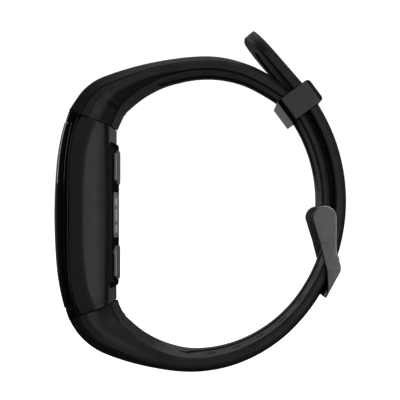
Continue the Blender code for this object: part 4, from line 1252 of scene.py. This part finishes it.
def build_keeper():
    def octagon(half_width, low, high, chamfer, corner):
        half = [
            (low, half_width - chamfer), (low + chamfer, half_width), (high - chamfer, half_width),
            (high, half_width - chamfer),
        ]
        return rounded_line(mirrored(half), corner, 4, closed=True)

    half = KEEPER_LENGTH / 2
    outlines = [
        octagon(KEEPER_HALF_WIDTH, KEEPER_INNER, KEEPER_OUTER, KEEPER_CHAMFER, 0.45),
        octagon(KEEPER_OPENING_HALF, KEEPER_OPENING_INNER, KEEPER_OPENING_OUTER, 0.4, 0.3),
    ]
    keeper = plate("keeper_band", outlines, "XY", -half, half, 0.22, 3)
    corners = []
    for side in (-1, 1):
        far, near = KEEPER_OUTER - KEEPER_CORNER, half - KEEPER_CORNER
        outline = [(KEEPER_OUTER + 0.5, side * near), (KEEPER_OUTER + 0.5, side * (half + 0.5))]
        outline.append((far, side * (half + 0.5)))
        for step in range(9):
            turn = pi / 2 * (1 - step / 8)
            x = far + KEEPER_CORNER * cos(turn)
            outline.append((x, side * (near + KEEPER_CORNER * sin(turn))))
        corners.append(plate("corner", [outline], "XZ", -14, 14))
    carve(keeper, corners, sharp=34)
    turn = Matrix.Rotation(-radians(KEEPER_ANGLE), 4, "Y")
    keeper.data.transform(put_at(RING_CENTRE) @ turn)
    recipe = moulded("keeper_plastic", grey(0.044), grey(0.056), (0.24, 0.3), 0.2, 0.005, 0.8, 0.5)
    # Painted light and shade by which way a face looks: the chamfers are painted dark and lose most of
    # their reflection; the faces square to the sides are painted lighter and made glossier.
    across, _ = recipe.facing()
    face = recipe.ranged(across, 0, 1, 0.86, 0.95)
    flat = recipe.ranged(across, 1, 0, 0.1, 0.3)
    colour = recipe.fed("Base Color")
    rough = recipe.fed("Roughness")
    colour = recipe.mixed(face, recipe.mixed(flat, grey(0.016), grey(0.07)), colour)
    # Painted highlight: a light line along the rounding between the side faces and the chamfers.
    edge_start = recipe.ranged(across, 0, 1, 0.74, 0.8)
    painted_edge_highlight = recipe.times(edge_start, recipe.ranged(across, 1, 0, 0.95, 0.99))
    colour = recipe.mixed(recipe.times(painted_edge_highlight, 0.7), colour, grey(0.2))
    shine = recipe.fed("Specular IOR Level")
    open_face = recipe.sum("MAXIMUM", recipe.sum("MAXIMUM", face, flat), 0.15)
    recipe.set(
        Base_Color=colour, Roughness=recipe.sum("SUBTRACT", rough, recipe.times(flat, 0.18)),
        Specular_IOR_Level=recipe.times(shine, open_face),
    )
    finished(keeper, recipe, "keeper", "keeper_loop")


# ---- inner parts


def circuit(name, board, copper):
    """Solder mask over copper tracks, with rows of small plated pads."""
    recipe = Recipe(name)
    turned = recipe.add("Mapping", {"Vector": recipe.where, "Rotation": (0, pi / 2, 0)})
    links = {"Vector": turned.outputs[0], "Color1": (0, 0, 0, 1), "Color2": (1, 1, 1, 1)}
    links.update({"Mortar": (0.5, 0.5, 0.5, 1), "Scale": 420.0, "Mortar Size": 0.03})
    pads = recipe.add("TexBrick", links).outputs["Fac"]
    tracks = recipe.noise(1.1, 0.0, stretch=(1, 4, 1))
    colour = recipe.mixed(recipe.ranged(tracks, 0, 1, 0.5, 0.52), board, grey(1.5, board))
    return recipe.set(
        Base_Color=recipe.mixed(pads, colour, copper), Roughness=recipe.ranged(tracks, 0.32, 0.5),
        Normal=recipe.bump(pads, 0.5, 0.03),
    )


def dress_inner_parts():
    """Procedural finishes for the CAD nodes that stay as they are."""
    steel = (1.0, 0.1, 1.0)
    recipes = {
        "glass_adhesive": moulded("adhesive", grey(0.012), grey(0.02), (0.6, 0.7), 0.4),
        "display_panel": gloss("display_laminate", 0.01, 0.08),
        "back_gasket": moulded("gasket_silicone", grey(0.1), grey(0.13), (0.6, 0.7), 0.3),
        "light_barrier": moulded("barrier_plastic", grey(0.012), grey(0.02), (0.6, 0.7), 0.2),
        "sensor_led_upper": gloss("led_cap_upper", 0.3, 0.15),
        "sensor_led_lower": gloss("led_cap_lower", 0.3, 0.15),
        "photodiode": gloss("photodiode_cap", 0.12, 0.15),
        "sensor_board": circuit("sensor_board_mask", (0.02, 0.12, 0.06), (0.6, 0.4, 0.15)),
        "main_board": circuit("main_board_mask", (0.015, 0.09, 0.05), (0.6, 0.4, 0.15)),
        "processor": moulded("chip_package", grey(0.015), grey(0.022), (0.45, 0.55), 0.15),
        "display_flex": moulded("polyimide", (0.5, 0.26, 0.05), (0.6, 0.34, 0.07), (0.3, 0.4), 0.5),
        "battery": metal("battery_foil", 0.5, 0.35, (1, 1, 1), (0.96, 0.98, 1.0), hair=0.9),
        "antenna_strip": metal("antenna_plating", 0.7, 0.35, steel, (1.0, 0.72, 0.4)),
        "shield_can": metal("shield_tin", 0.6, 0.32, steel),
        "inner_chassis": metal("chassis_sheet", 0.36, 0.4, steel),
        "vibration_motor_can": metal("motor_can_steel", 0.6, 0.3, steel),
        "vibration_motor_shaft": metal("motor_shaft_steel", 0.7, 0.25, steel),
        "vibration_motor_weight": metal("motor_weight_metal", 0.3, 0.42, (1, 1, 1), hair=0.2),
    }
    for word in ("upper", "lower"):
        recipes["latch_rocker_" + word] = metal("rocker_steel_" + word, 0.45, 0.35, steel)
        recipes["strap_connector_" + word] = moulded(
            "connector_nylon_" + word, grey(0.045), grey(0.065), (0.45, 0.55), 0.3, wear_and_highlight=0.3,
        )
    for number in (1, 2, 3, 4):
        recipes["case_screw_%d" % number] = metal(
            "screw_steel_%d" % number, 0.2, 0.35, (1, 1, 1), hair=0.2,
        )
    for number in (1, 2):
        recipes["charging_contact_%d" % number] = metal(
            "contact_gold_%d" % number, 0.85, 0.25, (1, 1, 1), (1.0, 0.76, 0.36), hair=0.2,
        )
    for node, recipe in recipes.items():
        wear_on(frame["nodes"][node], recipe)


def build_springs():
    """The springs under the buttons, copied as they are; the real springs shorten as a button goes in.
    """
    for word in ("upper", "lower"):
        node = "release_spring_" + word
        spring = linked("spring_wire_" + word, frame["nodes"][node].data.copy())
        wear_on(spring, metal("spring_wire_" + word, 0.6, 0.28, (1, 1, 1)))
        placed(spring, "tracker", node)
        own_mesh(spring)


# ---- floor, light, camera

FLOOR_GAP = 0.05
FLOOR_GLOW = 1.3
ROOM_LIGHT = 0.045
WALL_LIGHT = 0.3
BACKDROP_LIGHT = 1.1
WHITE = (1.0, 1.0, 1.0)


def build_floor():
    """A pale floor that the camera sees but that throws little light back on the object."""
    size = 4000 * MM
    level = cad_low.z - FLOOR_GAP * MM
    built = bmesh.new()
    corners = [(-size, -size), (size, -size), (size, size), (-size, size)]
    built.faces.new([built.verts.new((x, y, level)) for x, y in corners])
    floor = object_from("floor", built)
    recipe = Recipe("pale_floor")
    cloud = recipe.noise(60.0, 2.0)
    recipe.set(
        Base_Color=recipe.mixed(recipe.ranged(cloud, 0, 1), grey(0.78), grey(0.82)), Roughness=0.9,
        Specular_IOR_Level=0.0, Emission_Color=WHITE, Emission_Strength=FLOOR_GLOW,
    )
    wear_on(floor, recipe)
    floor.visible_diffuse = False
    floor.visible_glossy = False


def build_world():
    """White to the camera; to everything else a dim room with a brighter wall behind."""
    world = bpy.data.worlds.new("white_studio")
    bpy.context.scene.world = world
    world.use_nodes = True
    world.node_tree.nodes.clear()
    sky = Nodes(world.node_tree)
    way = sky.add("SeparateXYZ", {"Vector": sky.add("TexCoord").outputs["Generated"]}).outputs
    behind = sky.ranged(way["Y"], 0, 1, 0.55, 0.95, "SMOOTHSTEP")
    above = sky.ranged(way["Z"], 0.15, 1, -0.2, 0.2, "SMOOTHSTEP")
    wall = sky.times(sky.times(behind, above), WALL_LIGHT)
    felt = sky.add("Background", {"Strength": sky.sum("ADD", wall, ROOM_LIGHT)}).outputs[0]
    seen = sky.add("Background", {"Color": WHITE, "Strength": BACKDROP_LIGHT}).outputs[0]
    to_camera = sky.add("LightPath").outputs["Is Camera Ray"]
    pick = sky.add("MixShader", {0: to_camera, 1: felt, 2: seen}).outputs[0]
    sky.add("OutputWorld", {"Surface": pick})


def softbox(name, azimuth, elevation, distance, width, height, radiance):
    """An area light, in mm and degrees round the object, aimed at its middle."""
    middle = (cad_low + cad_high) / 2
    turn, rise = radians(azimuth), radians(elevation)
    back = Vector((sin(turn) * cos(rise), -cos(turn) * cos(rise), sin(rise)))
    light = bpy.data.lights.new(name, "AREA")
    light.shape = "RECTANGLE"
    light.size = width * MM
    light.size_y = height * MM
    light.energy = radiance * light.size * light.size_y * pi
    obj = linked(name, light)
    aimed(obj, middle + back * distance * MM, -back)
    obj.visible_camera = False


# Name, azimuth from the camera toward the right, elevation, distance, width, height, radiance
SOFTBOXES = (
    ("front_fill", 8, 10, 900, 520, 700, 0.6), ("right_front", 24, -4, 650, 330, 460, 0.85),
    ("right_middle", 58, -8, 650, 460, 340, 0.75), ("upper_right", 75, 44, 650, 460, 420, 0.7),
    ("left_rear", -112, 27, 650, 260, 560, 2.2), ("left_low", -112, -3, 650, 260, 140, 0.1),
    ("right_side", 96, 16, 650, 200, 320, 0.45), ("top_rear", 180, 64, 650, 560, 400, 0.5),
    ("overhead", 0, 84, 700, 600, 500, 0.9),
)


CAMERA_SPOT = (29.6, -291.0, 0.76)
CAMERA_WAY = (-30 / 1120, 1.0, 12 / 1120)
CAMERA_LENS = 100.8


def build_camera():
    data = bpy.data.cameras.new("photo_camera")
    data.lens = CAMERA_LENS
    data.sensor_width = 36.0
    data.clip_start = 0.01
    data.clip_end = 20.0
    camera = linked("photo_camera", data)
    aimed(camera, Vector(CAMERA_SPOT) * MM, Vector(CAMERA_WAY))
    bpy.context.scene.camera = camera


# ---- all of it

build_glass()
build_gloss_frame()
build_housing()
build_cover()
build_window()
build_buttons()
build_upper_strap()
build_lower_strap()
build_buckle()
build_tang()
build_keeper()
build_springs()
dress_inner_parts()
build_floor()
build_world()
for values in SOFTBOXES:
    softbox(*values)
build_camera()
bpy.context.scene.view_settings.view_transform = "Standard"

bpy.context.view_layer.update()
